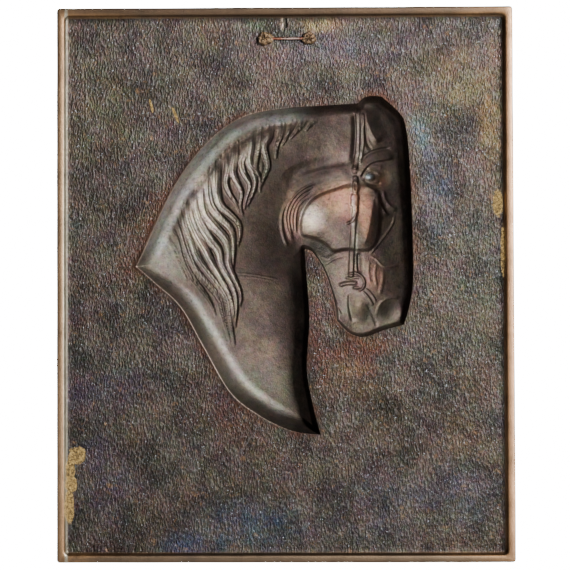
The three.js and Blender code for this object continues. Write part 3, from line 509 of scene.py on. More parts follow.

# Ridges that are worn and given painted highlights, and painted light on the steep wall inside the
# crest's lip: half width, strength, places
RUBBED_AND_PAINTED_HIGHLIGHTS = [
    (4.5, 1, [
        (20, 64.4), (3, 66.4), (-17.6, 70), (-33, 78), (-48.4, 93), (-60.8, 110.4), (-71.4, 130.7),
        (-79.4, 148.4), (-86, 157.6),
    ]),
    # Painted light on the steep wall just inside the crest's lip
    (8, 0.6, [
        (24, 60), (0, 62), (-20, 65.6), (-37, 74), (-52, 89.4), (-64.4, 107), (-76, 128.7), (-84, 146),
        (-88, 156),
    ]),
    (4.5, 0.3, [
        (-74, 166), (-56.2, 180.6), (-43.9, 199.1), (-33.2, 217.6), (-20.9, 234.5), (-5.5, 246.8),
        (6, 253),
    ]),
]

# Short crack under the top rim
CRACK = [(0.6, 5.2), (0.9, 8), (1.2, 11.8)]
CRACK_WIDTH = 1.4
CRACK_DEPTH = 1.2
CRACK_ROUNDING = 0.7


def add_object(name, data):
    made = bpy.data.objects.new(name, data)
    bpy.context.scene.collection.objects.link(made)
    return made


def place(x, y, drop):
    """A place on the plaque as a point of the scene."""
    return np.stack([x, y, HANG_DROP - drop], axis=-1) * MM


def ripple(x, drop, pitch, seed):
    """Gentle unevenness from -1 to 1, made of crossing waves of about one pitch."""
    total = np.zeros(np.shape(x))
    for k in range(6):
        turn = 1.3 * k + seed
        wave = 2 * np.pi / (pitch * (1 + 0.23 * k))
        total = total + np.sin(wave * (x * np.cos(turn) + drop * np.sin(turn)) + 2.4 * k * seed)
    return total / 6


def rounded_loop(inset, radius, step):
    """A loop round the plate, counter-clockwise as seen from behind, with evenly placed points."""
    right, top = PLAQUE_WIDTH / 2 - inset, inset
    bottom = PLAQUE_HEIGHT - inset
    corners = [
        (right - radius, top + radius, 0), (-right + radius, top + radius, 90),
        (-right + radius, bottom - radius, 180), (right - radius, bottom - radius, 270),
    ]
    points = []
    for number, (x, drop, start) in enumerate(corners):
        for k in range(5):
            turn = math.radians(start + 90 * k / 4)
            points.append((x + radius * math.cos(turn), drop - radius * math.sin(turn)))
        following = corners[(number + 1) % 4]
        turn = math.radians(start + 90)
        x, drop = x + radius * math.cos(turn), drop - radius * math.sin(turn)
        goal_x, goal_drop = following[0] + radius * math.cos(turn), following[1] - radius * math.sin(turn)
        count = round((PLAQUE_WIDTH if number % 2 == 0 else PLAQUE_HEIGHT) / step)
        for k in range(1, count):
            points.append((x + (goal_x - x) * k / count, drop + (goal_drop - drop) * k / count))
    return np.array(points)


def staggered(left, top, right, bottom, pitch):
    """Places in staggered rows over a box."""
    rows = np.arange(top, bottom, pitch * math.sqrt(3) / 2)
    columns = np.arange(left, right, pitch)
    x, drop = np.meshgrid(columns, rows)
    x = x + (np.arange(len(rows)) % 2)[:, None] * pitch / 2
    return x.ravel(), drop.ravel()


def triangulate(points, edges):
    """Triangles through all the points, keeping the given edges."""
    places = [Vector(p) for p in points.tolist()]
    _, _, faces, kept, _, _ = delaunay_2d_cdt(places, edges, [], 0, 1e-6, True)
    return [[kept[i][0] for i in face] for face in faces if all(kept[i] for i in face)]


def stroke_sink(x, drop):
    sunk = np.zeros(x.shape)
    for k in range(STROKE_COUNT):
        turn = math.radians(STROKE_LEANS[k % len(STROKE_LEANS)])
        half = STROKE_LENGTHS[k % len(STROKE_LENGTHS)] / 2
        u = x - STROKE_FIRST - k * STROKE_PITCH
        w = drop - STROKE_DROP
        along = w * math.cos(turn) - u * math.sin(turn)
        off = u * math.cos(turn) + w * math.sin(turn)
        beside = np.clip(1 - np.abs(off) / STROKE_WIDTH, 0, 1)
        sunk = np.maximum(sunk, beside * np.clip((half - np.abs(along)) / STROKE_END + 0.5, 0, 1))
    return STROKE_DEPTH * sunk


def rubbed_and_painted_highlight(x, drop):
    """How far the ridges of the hollow are worn and painted bright, from 0 to 1."""
    total = np.zeros(x.shape)
    for half, strength, places in RUBBED_AND_PAINTED_HIGHLIGHTS:
        distance, share, _ = nearest(smooth_line(places, LINE_STEP), x, drop)
        total = np.maximum(total, strength * ease(np.clip(1 - distance / half, 0, 1)) * ends(share))
    return total


def field_edge(x, drop):
    """Distance in from the plate's edge."""
    return np.minimum(PLAQUE_WIDTH / 2 - np.abs(x), np.minimum(drop, PLAQUE_HEIGHT - drop))


def wave(x, drop, height, pitch, seed):
    return height * ripple(x, drop, pitch, seed)


def burr(x, drop, inward):
    """Height of the ragged burr on the lip, which stands on the shaded left side alone."""
    ragged = np.clip(0.55 + 0.6 * ripple(x, drop, 19, 4.2), 0.1, 1) * np.clip((-20 - x) / 12, 0, 1)
    return BURR_HEIGHT * ragged * np.exp(-((inward + BURR_WIDTH / 2) / BURR_WIDTH) ** 2)


def crack(x, drop):
    near, _, _ = nearest(smooth_line(CRACK, 1), x, drop)
    return CRACK_DEPTH * np.clip(1 - 2 * near / CRACK_WIDTH, 0, 1) ** CRACK_ROUNDING


def back_surface(lip, x, drop):
    """Depth of the plaque's back behind the rim's plane, with what the finish is made from."""
    depth, carving, inward = relief(lip, x, drop)
    calm = np.clip((field_edge(x, drop) - RIM_WIDTH - RIM_DRAFT) / FIELD_CALM, 0, 1)
    calm = calm * np.clip(-inward / FIELD_CALM, 0, 1)
    field = sum(wave(x, drop, *row) for row in FIELD_WAVES) * calm + stroke_sink(x, drop)
    back = RIM_HEIGHT + depth - burr(x, drop, inward) + crack(x, drop)
    return back + np.where(inward > 0, wave(x, drop, *HOLLOW_WAVE), field), carving, inward


def front_reader(lip):
    """The front, one wall's thickness off the back everywhere, as a grid read between its points."""
    margin = WALL + 2 * GRID_STEP
    low, high = lip[:, :2].min(0) - margin, lip[:, :2].max(0) + margin
    columns, rows = np.arange(low[0], high[0], GRID_STEP), np.arange(low[1], high[1], GRID_STEP)
    x, drop = np.meshgrid(columns, rows)
    depth, _, _ = relief(lip, x.ravel(), drop.ravel())
    depth = depth.reshape(x.shape)
    reach = int(WALL / GRID_STEP)
    padded = np.pad(depth, reach)
    front = np.full(depth.shape, float(WALL))
    for row in range(-reach, reach + 1):
        for column in range(-reach, reach + 1):
            off = (row * row + column * column) * GRID_STEP ** 2
            if off > WALL ** 2:
                continue
            top, left = reach + row, reach + column
            moved = padded[top:top + depth.shape[0], left:left + depth.shape[1]]
            front = np.maximum(front, moved + math.sqrt(WALL ** 2 - off))

    def read(x, drop):
        u = np.clip((x - columns[0]) / GRID_STEP, 0, len(columns) - 1.001)
        w = np.clip((drop - rows[0]) / GRID_STEP, 0, len(rows) - 1.001)
        i, j = u.astype(int), w.astype(int)
        u, w = u - i, w - j
        upper = front[j, i] * (1 - u) + front[j, i + 1] * u
        lower = front[j + 1, i] * (1 - u) + front[j + 1, i + 1] * u
        return upper * (1 - w) + lower * w

    return read


# Numbers that the finish reads at each vertex: whether it is in the hollow, how far in from the lip, the
# height of the mane, and the strength of worn edges (on the lip's left side partly a painted highlight),
# of grain, of crust and of ridges worn and painted bright
MARKS = ("hollow", "lip", "carved", "rim", "grain", "crust", "rub")
# Distances to the lip that are given to the rim and to the lugs and wire
FAR = -60
NEAR_FIELD = -40


class Solid:
    """Gathers vertices, faces and the finish's numbers for one piece."""

    def __init__(self):
        self.points = []
        self.faces = []
        self.marks = {name: [] for name in MARKS}
        self.count = 0

    def add(self, points, faces, **marks):
        """Adds points and faces, and returns the points' numbers."""
        first = self.count
        self.points.append(points)
        self.count += len(points)
        self.faces += [[first + i for i in face] for face in faces]
        for name in MARKS:
            self.marks[name].append(np.broadcast_to(np.array(marks.get(name, 0), float), len(points)))
        return np.arange(first, self.count)

    def join(self, one, other):
        """Joins two loops of equal length by a band."""
        after_one, after_other = np.roll(one, -1), np.roll(other, -1)
        self.faces += np.stack([one, after_one, after_other, other], axis=1).tolist()

    def build(self, name, material):
        mesh = bpy.data.meshes.new(name)
        mesh.from_pydata(np.concatenate(self.points).tolist(), [], self.faces)
        mesh.shade_smooth()
        for mark, values in self.marks.items():
            layer = mesh.attributes.new(mark, "FLOAT", "POINT")
            layer.data.foreach_set("value", np.concatenate(values).astype(np.float32))
        mesh.materials.append(material)
        return add_object(name, mesh)


def lip_rings(lip):
    """Places beside the lip, in rings inside and outside it."""
    along = np.roll(lip[:, :2], -1, axis=0) - np.roll(lip[:, :2], 1, axis=0)
    along = along / np.hypot(*along.T)[:, None]
    outward = np.stack([-along[:, 1], along[:, 0]], axis=1)
    rings = []
    for offset in RING_OFFSETS:
        ring = lip[:, :2] - outward * offset
        distance, _, _ = nearest(lip, ring[:, 0], ring[:, 1], closed=True)
        rings.append(ring[distance > RING_PINCH * abs(offset)])
    return np.concatenate(rings)


def casting_back(solid, lip, border):
    """The back: rim's foot, field and hollow."""
    low, high = lip[:, :2].min(0), lip[:, :2].max(0)
    x, drop = staggered(*low, *high, PITCH)
    inside = inside_lip(lip, x, drop)
    inside[inside] = nearest(lip, x[inside], drop[inside], closed=True)[0] > RING_CLEARANCE
    fine = x[inside], drop[inside]
    right, bottom = PLAQUE_WIDTH / 2 - FIELD_INSET, PLAQUE_HEIGHT - FIELD_INSET
    x, drop = staggered(-right, FIELD_INSET, right, bottom, FIELD_PITCH)
    outside = ~inside_lip(lip, x, drop) & (field_edge(x, drop) > FIELD_INSET + FIELD_PITCH / 2)
    outside &= nearest(lip, x, drop, closed=True)[0] > FIELD_PITCH / 2
    coarse = x[outside], drop[outside]
    half = STROKE_LENGTHS[0] / 2 + 0.6
    last = STROKE_FIRST + (STROKE_COUNT - 1) * STROKE_PITCH
    strokes = staggered(STROKE_FIRST - 2, STROKE_DROP - half, last + 2, STROKE_DROP + half, STROKE_MESH)
    cut = staggered(-1, CRACK[0][1] + 1.6, 3, CRACK[-1][1] + 1, CRACK_MESH)
    others = [np.stack(spots, axis=1) for spots in (fine, coarse, strokes, cut)]
    points = np.concatenate([border, lip[:, :2], lip_rings(lip), *others])
    x, drop = points.T
    back, carving, inward = back_surface(lip, x, drop)
    back[:len(border)] = RIM_HEIGHT
    loop = [(len(border) + i, len(border) + (i + 1) % len(lip)) for i in range(len(lip))]
    fade = np.clip((field_edge(x, drop) - FIELD_INSET) / 3, 0, 1)
    marks = {
        "hollow": inward > 0, "lip": inward, "carved": carving, "rub": rubbed_and_painted_highlight(x, drop),
        # Wear on the lip, growing to the left: partly a painted highlight where the lip catches the light
        "rim": LIP_WEAR_AND_HIGHLIGHT * np.exp(-(inward / 0.5) ** 2) * np.clip((10 - x) / 30, 0.1, 1),
        "grain": np.where(inward > 0, 0, 1) * np.clip(0.3 - inward / 6, 0, 1) * rest_of(0.4, fade),
    }
    return solid.add(place(x, back, drop), triangulate(points, loop), **marks)[:len(border)]


def casting_front(solid, lip, border, limit):
    """The front: the plate's plain face and the relief that stands from it."""
    low, high = lip[:, :2].min(0) - WALL, lip[:, :2].max(0) + WALL
    x, drop = staggered(*low, *high, FRONT_PITCH)
    keep = inside_lip(lip, x, drop) | (nearest(lip, x, drop, closed=True)[0] < WALL + 0.5)
    fine = np.stack([x[keep], drop[keep]], axis=1)
    pitch = 2 * FIELD_PITCH
    right, bottom = PLAQUE_WIDTH / 2 - pitch, PLAQUE_HEIGHT - pitch
    x, drop = staggered(-right, pitch, right, bottom, pitch)
    keep = ~inside_lip(lip, x, drop) & (nearest(lip, x, drop, closed=True)[0] > WALL + pitch / 2)
    points = np.concatenate([border, fine, np.stack([x[keep], drop[keep]], axis=1)])
    x, drop = points.T
    height = front_reader(lip)(x, drop)
    height[:len(border)] = WALL
    raised = np.clip(height - WALL, 0, 1)
    sunk, pitch, seed = FRONT_WAVE
    height = height - sunk * (1 - raised) * (1 + ripple(x, drop, pitch, seed)) / 2
    height[:len(border)] = WALL
    y = np.minimum(RIM_HEIGHT + height, limit)
    faces = [face[::-1] for face in triangulate(points, [])]
    marks = {"lip": FAR + 55 * raised, "grain": 0.5 * (1 - raised)}
    return solid.add(place(x, y, drop), faces, **marks)[:len(border)]


# Lugs, given by x, half width and half height, and the wire between them
WIRE_DIAMETER = 1.8
WIRE_GAP = 0.3
WIRE_Y = RIM_HEIGHT - WIRE_GAP - WIRE_DIAMETER / 2
WIRE_HOLD = 1.4
WIRE_RINGS = 90
WIRE_SIDES = 20
LUGS = [(-11.5, 5, 4), (15.2, 4.2, 3.9)]
LUG_TOP = 0.2
LUG_FOOT = RIM_HEIGHT + 0.3
LUG_RINGS = 14
LUG_SIDES = 40
LUG_Z = WIRE_DIAMETER / 2


def lug(solid, x, half_width, half_height, seed):
    """A cast lug: a rough lump with a blunt top, its foot spread on the field."""
    turn = np.linspace(0, 2 * np.pi, LUG_SIDES, endpoint=False)
    rings = []
    for number in range(LUG_RINGS + 1):
        climb = number / LUG_RINGS
        spread = (1 - climb ** 5) ** 0.35 if number < LUG_RINGS else 0.08
        rough = 1 + 0.08 * np.sin(3 * turn + seed + 2 * climb)
        rough = spread * (rough + 0.06 * np.sin(7 * turn + 2.3 * seed - 3 * climb))
        lump = 0.5 * np.sin(2 * turn + 3 * seed) + 0.3 * np.sin(5 * turn - seed + 4 * climb)
        u = x + half_width * rough * np.cos(turn)
        w = LUG_Z + half_height * rough * np.sin(turn)
        y = LUG_FOOT - (LUG_FOOT - LUG_TOP - 0.3) * climb ** 0.8 + lump * spread * climb
        ring = place(u, np.maximum(y, LUG_TOP), HANG_DROP - w)
        rings.append(solid.add(ring, [], lip=NEAR_FIELD, crust=0.1, rim=0.42, grain=1.4))
    for one, other in zip(rings, rings[1:]):
        solid.join(other, one)
    solid.faces.append(rings[-1].tolist())


# Loops over the rim, from its foot to the front: inset, corner radius, depth and wear
RIM_LOOPS = [
    (FIELD_INSET - 1, RIM_INNER_RADIUS - RIM_DRAFT, 2.45, 0.55),
    (RIM_WIDTH + 0.35 * RIM_DRAFT, RIM_INNER_RADIUS - 0.35 * RIM_DRAFT, 1.2, 0.9),
    (RIM_WIDTH + 0.1, RIM_INNER_RADIUS, 0.4, 1),
    (RIM_WIDTH - 0.55, RIM_INNER_RADIUS, 0, 1),
    (RIM_WIDTH / 2, EDGE_RADIUS, 0.08, 0.8),
    (EDGE_BEVEL + 0.5, EDGE_RADIUS, 0, 0.9),
    (0.28, EDGE_RADIUS + 0.4, 0.3, 1),
    (0, EDGE_RADIUS + EDGE_BEVEL, 0.95, 0.7),
    (0, EDGE_RADIUS + EDGE_BEVEL, RIM_HEIGHT + WALL - 0.95, 0.6),
    (0.28, EDGE_RADIUS + 0.4, RIM_HEIGHT + WALL - 0.3, 0.7),
]
# How far the rim's loops drift inwards, all but their corners, and how uneven its flat back is
RIM_DRIFT = 0.18
RIM_CORNER = 12
RIM_ROUGHNESS = 0.05


def drifted(loop):
    """The loop, moved inwards a little and unevenly."""
    drift = RIM_DRIFT * (1 + ripple(*loop.T, 31, 0.9)) / 2
    half = np.array([PLAQUE_WIDTH / 2, PLAQUE_HEIGHT / 2])
    off = loop - [0, PLAQUE_HEIGHT / 2]
    return loop - np.sign(off) * drift[:, None] * (np.abs(off) > half - RIM_CORNER)


def casting(limit):
    lip = lip_loop(LIP_STEP)
    solid = Solid()
    previous = casting_back(solid, lip, rounded_loop(FIELD_INSET, 1, RIM_STEP))
    for inset, radius, depth, wear in RIM_LOOPS:
        x, drop = drifted(rounded_loop(inset, radius, RIM_STEP)).T
        y = np.full(len(x), depth) if depth else RIM_ROUGHNESS * (1 + ripple(x, drop, 14, 2.2))
        ring = solid.add(place(x, y, drop), [], lip=FAR, rim=wear, grain=0.1)
        solid.join(previous, ring)
        previous = ring
    border = rounded_loop(EDGE_BEVEL + 0.5, EDGE_RADIUS, RIM_STEP)
    solid.join(previous, casting_front(solid, lip, border, limit))
    for seed, (x, half_width, half_height) in enumerate(LUGS, 1):
        lug(solid, x, half_width, half_height, seed)
    return solid


def hanging_wire():
    """The wire between the lugs, with both ends let into them."""
    start = LUGS[0][0] + LUGS[0][1] - WIRE_HOLD
    end = LUGS[1][0] - LUGS[1][1] + WIRE_HOLD
    turn = np.linspace(0, 2 * np.pi, WIRE_SIDES, endpoint=False)
    solid = Solid()
    loops = []
    for t in np.linspace(0, 1, WIRE_RINGS + 1):
        z = LUG_Z + 0.04 * math.sin(19 * t)
        radius = WIRE_DIAMETER / 2 * (0.95 - 0.03 * math.sin(23 * t) - 0.02 * math.sin(61 * t))
        if t in (0, 1):
            radius *= 0.8
        x = np.full(WIRE_SIDES, start + (end - start) * t)
        ring = place(x, WIRE_Y + radius * np.sin(turn), HANG_DROP - z - radius * np.cos(turn))
        loops.append(solid.add(ring, [], lip=NEAR_FIELD, rim=1))
    for one, other in zip(loops, loops[1:]):
        solid.join(one, other)
    solid.faces.append(loops[0].tolist()[::-1])
    solid.faces.append(loops[-1].tolist())
    return solid


# Finishes

class Nodes:
    """Short ways to write a material's node tree."""

    def __init__(self, name):
        self.material = bpy.data.materials.new(name)
        self.material.use_nodes = True
        self.tree = self.material.node_tree
        self.shader = self.tree.nodes["Principled BSDF"]
        self.coordinates = self.tree.nodes.new("ShaderNodeTexCoord").outputs["Object"]
        self.depth = self.node("SeparateXYZ", Vector=self.coordinates).outputs["Y"]

    def put(self, socket, value):
        if isinstance(value, bpy.types.NodeSocket):
            self.tree.links.new(value, socket)
        else:
            socket.default_value = value

    def node(self, kind, settings=(), **inputs):
        made = self.tree.nodes.new("ShaderNode" + kind)
        for name, value in dict(settings).items():
            setattr(made, name, value)
        for name, value in inputs.items():
            self.put(made.inputs[name], value)
        return made

    def mark(self, name):
        return self.node("Attribute", {"attribute_name": name}).outputs["Fac"]

    def math(self, kind, one, other):
        node = self.node("Math", {"operation": kind})
        self.put(node.inputs[0], one)
        self.put(node.inputs[1], other)
        return node.outputs[0]

    def times(self, one, other):
        return self.math("MULTIPLY", one, other)

    def ramp(self, value, low, high, start=0, end=1):
        """Runs smoothly from start to end as the value goes from low to high."""
        node = self.node("MapRange", {"interpolation_type": "SMOOTHSTEP"})
        for socket, number in zip(node.inputs, (value, low, high, start, end)):
            self.put(socket, number)
        return node.outputs[0]

    def placed(self, location, tilt, scale):
        """Coordinates from a place on the plaque, tilted counter-clockwise by some degrees."""
        turn = (0, -math.radians(tilt), 0)
        inputs = {"Location": location, "Rotation": turn, "Scale": scale, "Vector": self.coordinates}
        return self.node("Mapping", {"vector_type": "TEXTURE"}, **inputs).outputs[0]

    def noise(self, scale, detail=3, rough=0.55, vector=None, output=0):
        vector = self.coordinates if vector is None else vector
        node = self.node("TexNoise", Scale=scale, Detail=detail, Roughness=rough, Vector=vector)
        return node.outputs[output]

    def spots(self, scale, rough, low, high, start=0, end=1):
        """Noise in spots, from start to end."""
        return self.ramp(self.noise(scale, 5, rough), low, high, start, end)

    def cells(self, scale, smooth, vector):
        inputs = {"Scale": scale, "Smoothness": smooth, "Vector": vector}
        return self.node("TexVoronoi", {"feature": "SMOOTH_F1"}, **inputs).outputs["Distance"]

    def mix(self, share, one, other, kind="MIX"):
        settings = {"data_type": "RGBA", "blend_type": kind}
        return self.node("Mix", settings, Factor=share, A=one, B=other).outputs["Result"]

    def tinted(self, base, share, scale):
        """The colour with slowly varying tints laid over it."""
        return self.mix(share, base, self.noise(scale, 5, 0.75, output="Color"), "OVERLAY")

    def patch(self, x, drop, half_width, half_height, tilt=0, soft=0.6):
        """1 in the middle of a soft oval on the plaque, 0 outside it."""
        location = (x * MM, 0, (HANG_DROP - drop) * MM)
        off = self.placed(location, tilt, (half_width * MM, 1, half_height * MM))
        length = self.node("VectorMath", {"operation": "LENGTH"}, Vector=off)
        return self.ramp(length.outputs["Value"], 1, 1 - soft)

    def clouds(self, base, rows, soft, torn=None):
        """The colour under clouds of other colours, torn by a pattern."""
        for code, strength, *oval in rows:
            share = self.patch(*oval, soft=soft)
            share = share if torn is None else self.times(share, torn)
            base = self.mix(self.times(share, strength), base, colour(code))
        return base

    def bump(self, height, distance, strength, **normal):
        return self.node("Bump", Distance=distance, Strength=strength, Height=height, **normal).outputs[0]


def colour(code):
    """A linear colour from the usual six-figure code."""
    parts = [int(code[i:i + 2], 16) / 255 for i in (0, 2, 4)]
    return tuple([p / 12.92 if p <= 0.04045 else ((p + 0.055) / 1.055) ** 2.4 for p in parts] + [1])


# Colour clouds of the field, the hollow and the rim: colour, strength, then x, drop, half width, half
# height and tilt in degrees, counter-clockwise. In the hollow and on the rim some rows are painted
# shadows, shade and highlights, each marked where it stands.
FIELD_CLOUDS = [
    ("38455a", 0.7, -22, 318, 54, 22, 0),
    ("33425a", 0.6, -60, 330, 26, 12, 0),
    ("433c50", 0.45, -108, 236, 44, 26, 0),
    ("40384e", 0.55, -112, 288, 26, 40, 0),
    ("4a5868", 0.7, 83, 78, 9, 22, 20),
    ("465060", 0.5, 94, 112, 14, 44, 0),
    ("403c4c", 0.5, 60, 306, 60, 34, 0),
    ("3c4454", 0.5, 110, 300, 26, 30, 0),
    ("6c6044", 0.6, 104, 46, 26, 24, 0),
    ("74603e", 0.5, 126, 66, 12, 60, 0),
    ("664a36", 0.6, 44, 226, 22, 22, 0),
    ("6c5844", 0.4, 108, 262, 22, 22, 0),
    ("4c5046", 0.6, 112, 176, 24, 60, 0),
    ("52503f", 0.5, -112, 60, 36, 50, 0),
    ("4c3026", 0.95, -78, 132, 20, 44, -32),
    ("4c342a", 0.8, -98, 160, 16, 18, 0),
    ("523630", 0.85, 20, 206, 8, 58, 8),
    ("523426", 0.8, 44, 210, 34, 12, 6),
    ("4c322a", 0.7, -36, 252, 40, 16, -38),
    ("24221f", 0.8, 62, 248, 30, 22, 0),
    ("6c6e5c", 0.45, -22, 10, 22, 7, 0),
    ("86724c", 0.7, 20, 11, 22, 7, 0),
    ("d0b8a8", 0.8, -1.2, 9.6, 1.6, 5.5, 0),
    ("5c5664", 0.4, 30, 24, 60, 16, 0),
]
# Patina of the hollow, with painted shadows, painted shade, a painted sheen and painted highlights among
# its rows
HOLLOW_CLOUDS_AND_PAINTED_LIGHT = [
    ("424239", 0.9, -14, 236, 40, 26, -30),
    ("403f38", 0.8, -46, 200, 16, 40, 30),
    ("58584f", 0.9, -72, 152, 24, 22, 0),
    ("3a2f2a", 0.85, -8, 130, 18, 44, 0),
    ("2f2723", 0.85, 0, 180, 26, 34, 0),
    ("a87a62", 0.9, 36, 118, 22, 16, 0),
    ("7c5c4e", 0.8, 4, 128, 8, 20, 0),
    # Painted sheen: a whitish patch on the cheek
    ("aa9c8e", 0.9, 17, 128, 12, 12, 0),
    ("9a6c56", 0.8, 50, 126, 6, 22, 6),
    # Painted shade down the side of the nose, where it turns from the light
    ("2c2823", 0.55, 63, 132, 9, 22, 0),
    ("6a4a3a", 0.7, 55, 166, 9, 14, 0),
    ("5a584d", 0.9, 50, 190, 30, 14, -8),
    ("3f3c35", 0.9, 25, 166, 12, 28, 20),
    ("4c382e", 0.8, 46, 186, 6, 10, 0),
    ("5c4234", 0.7, 60, 106, 7, 8, 0),
    # Painted highlight on the eye
    ("6c747c", 0.8, 52.4, 103, 3.6, 2.8, 0),
    ("a0968c", 0.7, 43, 134, 2.4, 36, 3),
    ("8a8078", 0.7, 46.6, 82, 4, 22, 0),
    ("33302a", 0.9, 64, 187, 8, 8, 0),
    # Painted shade on the cheek's lower facet, in two rows
    ("292824", 0.97, 20, 147, 13, 6, -24),
    ("1c1b18", 0.9, 20, 148, 12, 5.4, -26),
    # Painted shade in the ear's hollow
    ("242420", 0.97, 60.5, 71, 12, 19, 24),
    # Painted highlights on the mane, in two rows
    ("c8b8a4", 0.8, -50, 108, 12, 10, 40),
    ("b8a898", 0.7, -52, 130, 12, 14, 30),
    # Painted shadow of the lip along the throat
    ("0e0d0d", 0.98, 15, 205, 19, 78, 0),
    # Painted shadow of the lip down the nose's wall
    ("1a1816", 0.9, 76, 130, 9, 80, 0),
]
RIM_CLOUDS_AND_PAINTED_HIGHLIGHT = [
    ("5c4c3e", 0.9, 0, 2, 150, 5, 0),
    ("6c5c4c", 0.9, 0, 338, 150, 5, 0),
    ("cfa27c", 0.9, 137.5, 170, 5, 200, 0),
    # Painted highlight on the left rim's inner wall, where it faces the light
    ("c8c2ac", 0.9, -134, 170, 2.2, 220, 0),
    ("b89878", 0.6, -137.8, 170, 2, 200, 0),
    ("8c8078", 0.85, -10, 165, 120, 150, 0),
]
# Crusts of old ochre dirt on the rim's foot and scratches: x, drop, half width, half height, tilt
CRUSTS = [
    (130.5, 121, 5, 13, 0), (133.5, 150, 2.4, 26, 0), (-127.5, 274.5, 8.5, 8.5, 20),
    (-132, 284, 4.6, 14, 0), (-131.5, 292, 6, 9, 0), (-132.5, 306, 4.8, 17, 0),
    (-82, 60, 1.3, 7, 14), (-67, 66, 1.3, 9, 22),
]


# How far the hollow's surface is dull patina instead of metal, and how much rougher than the field it is
HOLLOW_DULL = 0.12
HOLLOW_ROUGH = 0.03
# The field's grains lean to the right and are longer than wide
GRAIN_TILT = -10
GRAIN_LENGTH = 1 / 0.43


def field_colour(n, lumps):
    """Dark grained patina under colour clouds, red-brown by the lip, pale on the grain tops, with painted
    glints.
    """
    shade = n.mix(n.spots(45, 0.7, 0.35, 0.65), colour("302c2a"), colour("4c443e"))
    shade = n.clouds(shade, FIELD_CLOUDS, 0.9, n.ramp(n.noise(130, 6, 0.8), 0.4, 0.62, 0.2, 1))
    shade = n.tinted(n.tinted(shade, 0.45, 55), 0.4, 300)
    shade = n.mix(n.times(n.ramp(n.noise(210, 4, 0.7), 0.58, 0.75), 0.4), shade, colour("8c6b4a"))
    halo = n.times(n.ramp(n.mark("lip"), -7, -0.5), n.spots(60, 0.7, 0.4, 0.64))
    shade = n.mix(n.times(halo, 0.7), shade, colour("482e24"))
    grain = n.mark("grain")
    shade = n.mix(n.times(n.ramp(lumps, 0.78, 0.58), n.times(grain, 0.22)), shade, colour("15130f"))
    shade = n.mix(n.times(n.ramp(lumps, 0.92, 1.12), n.times(grain, 0.1)), shade, colour("a4a4a4"))
    # Painted glints: fine pale blue-grey specks on the grain
    painted_glint = n.times(n.ramp(n.noise(900, 3, 0.7), 0.64, 0.7), grain)
    return n.mix(n.times(painted_glint, 0.5), shade, colour("b0bac6"))


def hollow_colour(n, ragged):
    """Smoother metal under colour clouds, painted shadows and painted highlights, the mane with a painted
    highlight on its locks' tops and darker between them.
    """
    carved = n.mark("carved")
    shade = n.mix(n.spots(40, 0.7, 0.35, 0.65), colour("382f2b"), colour("52463f"))
    shade = n.clouds(shade, HOLLOW_CLOUDS_AND_PAINTED_LIGHT, 0.9, n.ramp(ragged, 0.3, 0.7, 0.45, 1))
    shade = n.mix(n.times(n.ramp(carved, 0.05, 0.5), 0.5), shade, colour("332d29"))
    # Painted highlight: the mane's highest strands turned pale
    painted_mane_highlight = n.times(n.ramp(carved, 0.8, 2.2), n.spots(90, 0.7, 0.35, 0.65, 0.4, 1))
    shade = n.mix(n.times(painted_mane_highlight, 0.8), shade, colour("a89e90"))
    # Ridges worn and painted bright: partly wear, mostly a painted highlight along the crest and chest,
    # and painted light on the wall inside the crest's lip
    rub = n.times(n.mark("rub"), n.ramp(ragged, 0.3, 0.65, 0.45, 1))
    shade = n.mix(n.times(rub, 0.85), shade, colour("b2afa8"))
    shade = n.tinted(n.tinted(shade, 0.35, 70), 0.35, 260)
    return n.mix(n.times(n.spots(560, 0.75, 0.5, 0.32), 0.5), shade, colour("24201c"))


def crust_share(n):
    """Flaking crusts, on the back alone."""
    crust = n.mark("crust")
    flaking = n.times(n.noise(300, 6, 0.8), 1.1)
    behind = n.ramp(n.depth, (RIM_HEIGHT + 0.6 * WALL) * MM, (RIM_HEIGHT + 0.4 * WALL) * MM)
    for oval in CRUSTS:
        torn = n.ramp(n.math("ADD", n.patch(*oval, soft=0.9), flaking), 0.84, 1.1)
        crust = n.math("MAXIMUM", crust, n.times(torn, n.times(n.patch(*oval, soft=0.3), behind)))
    return crust


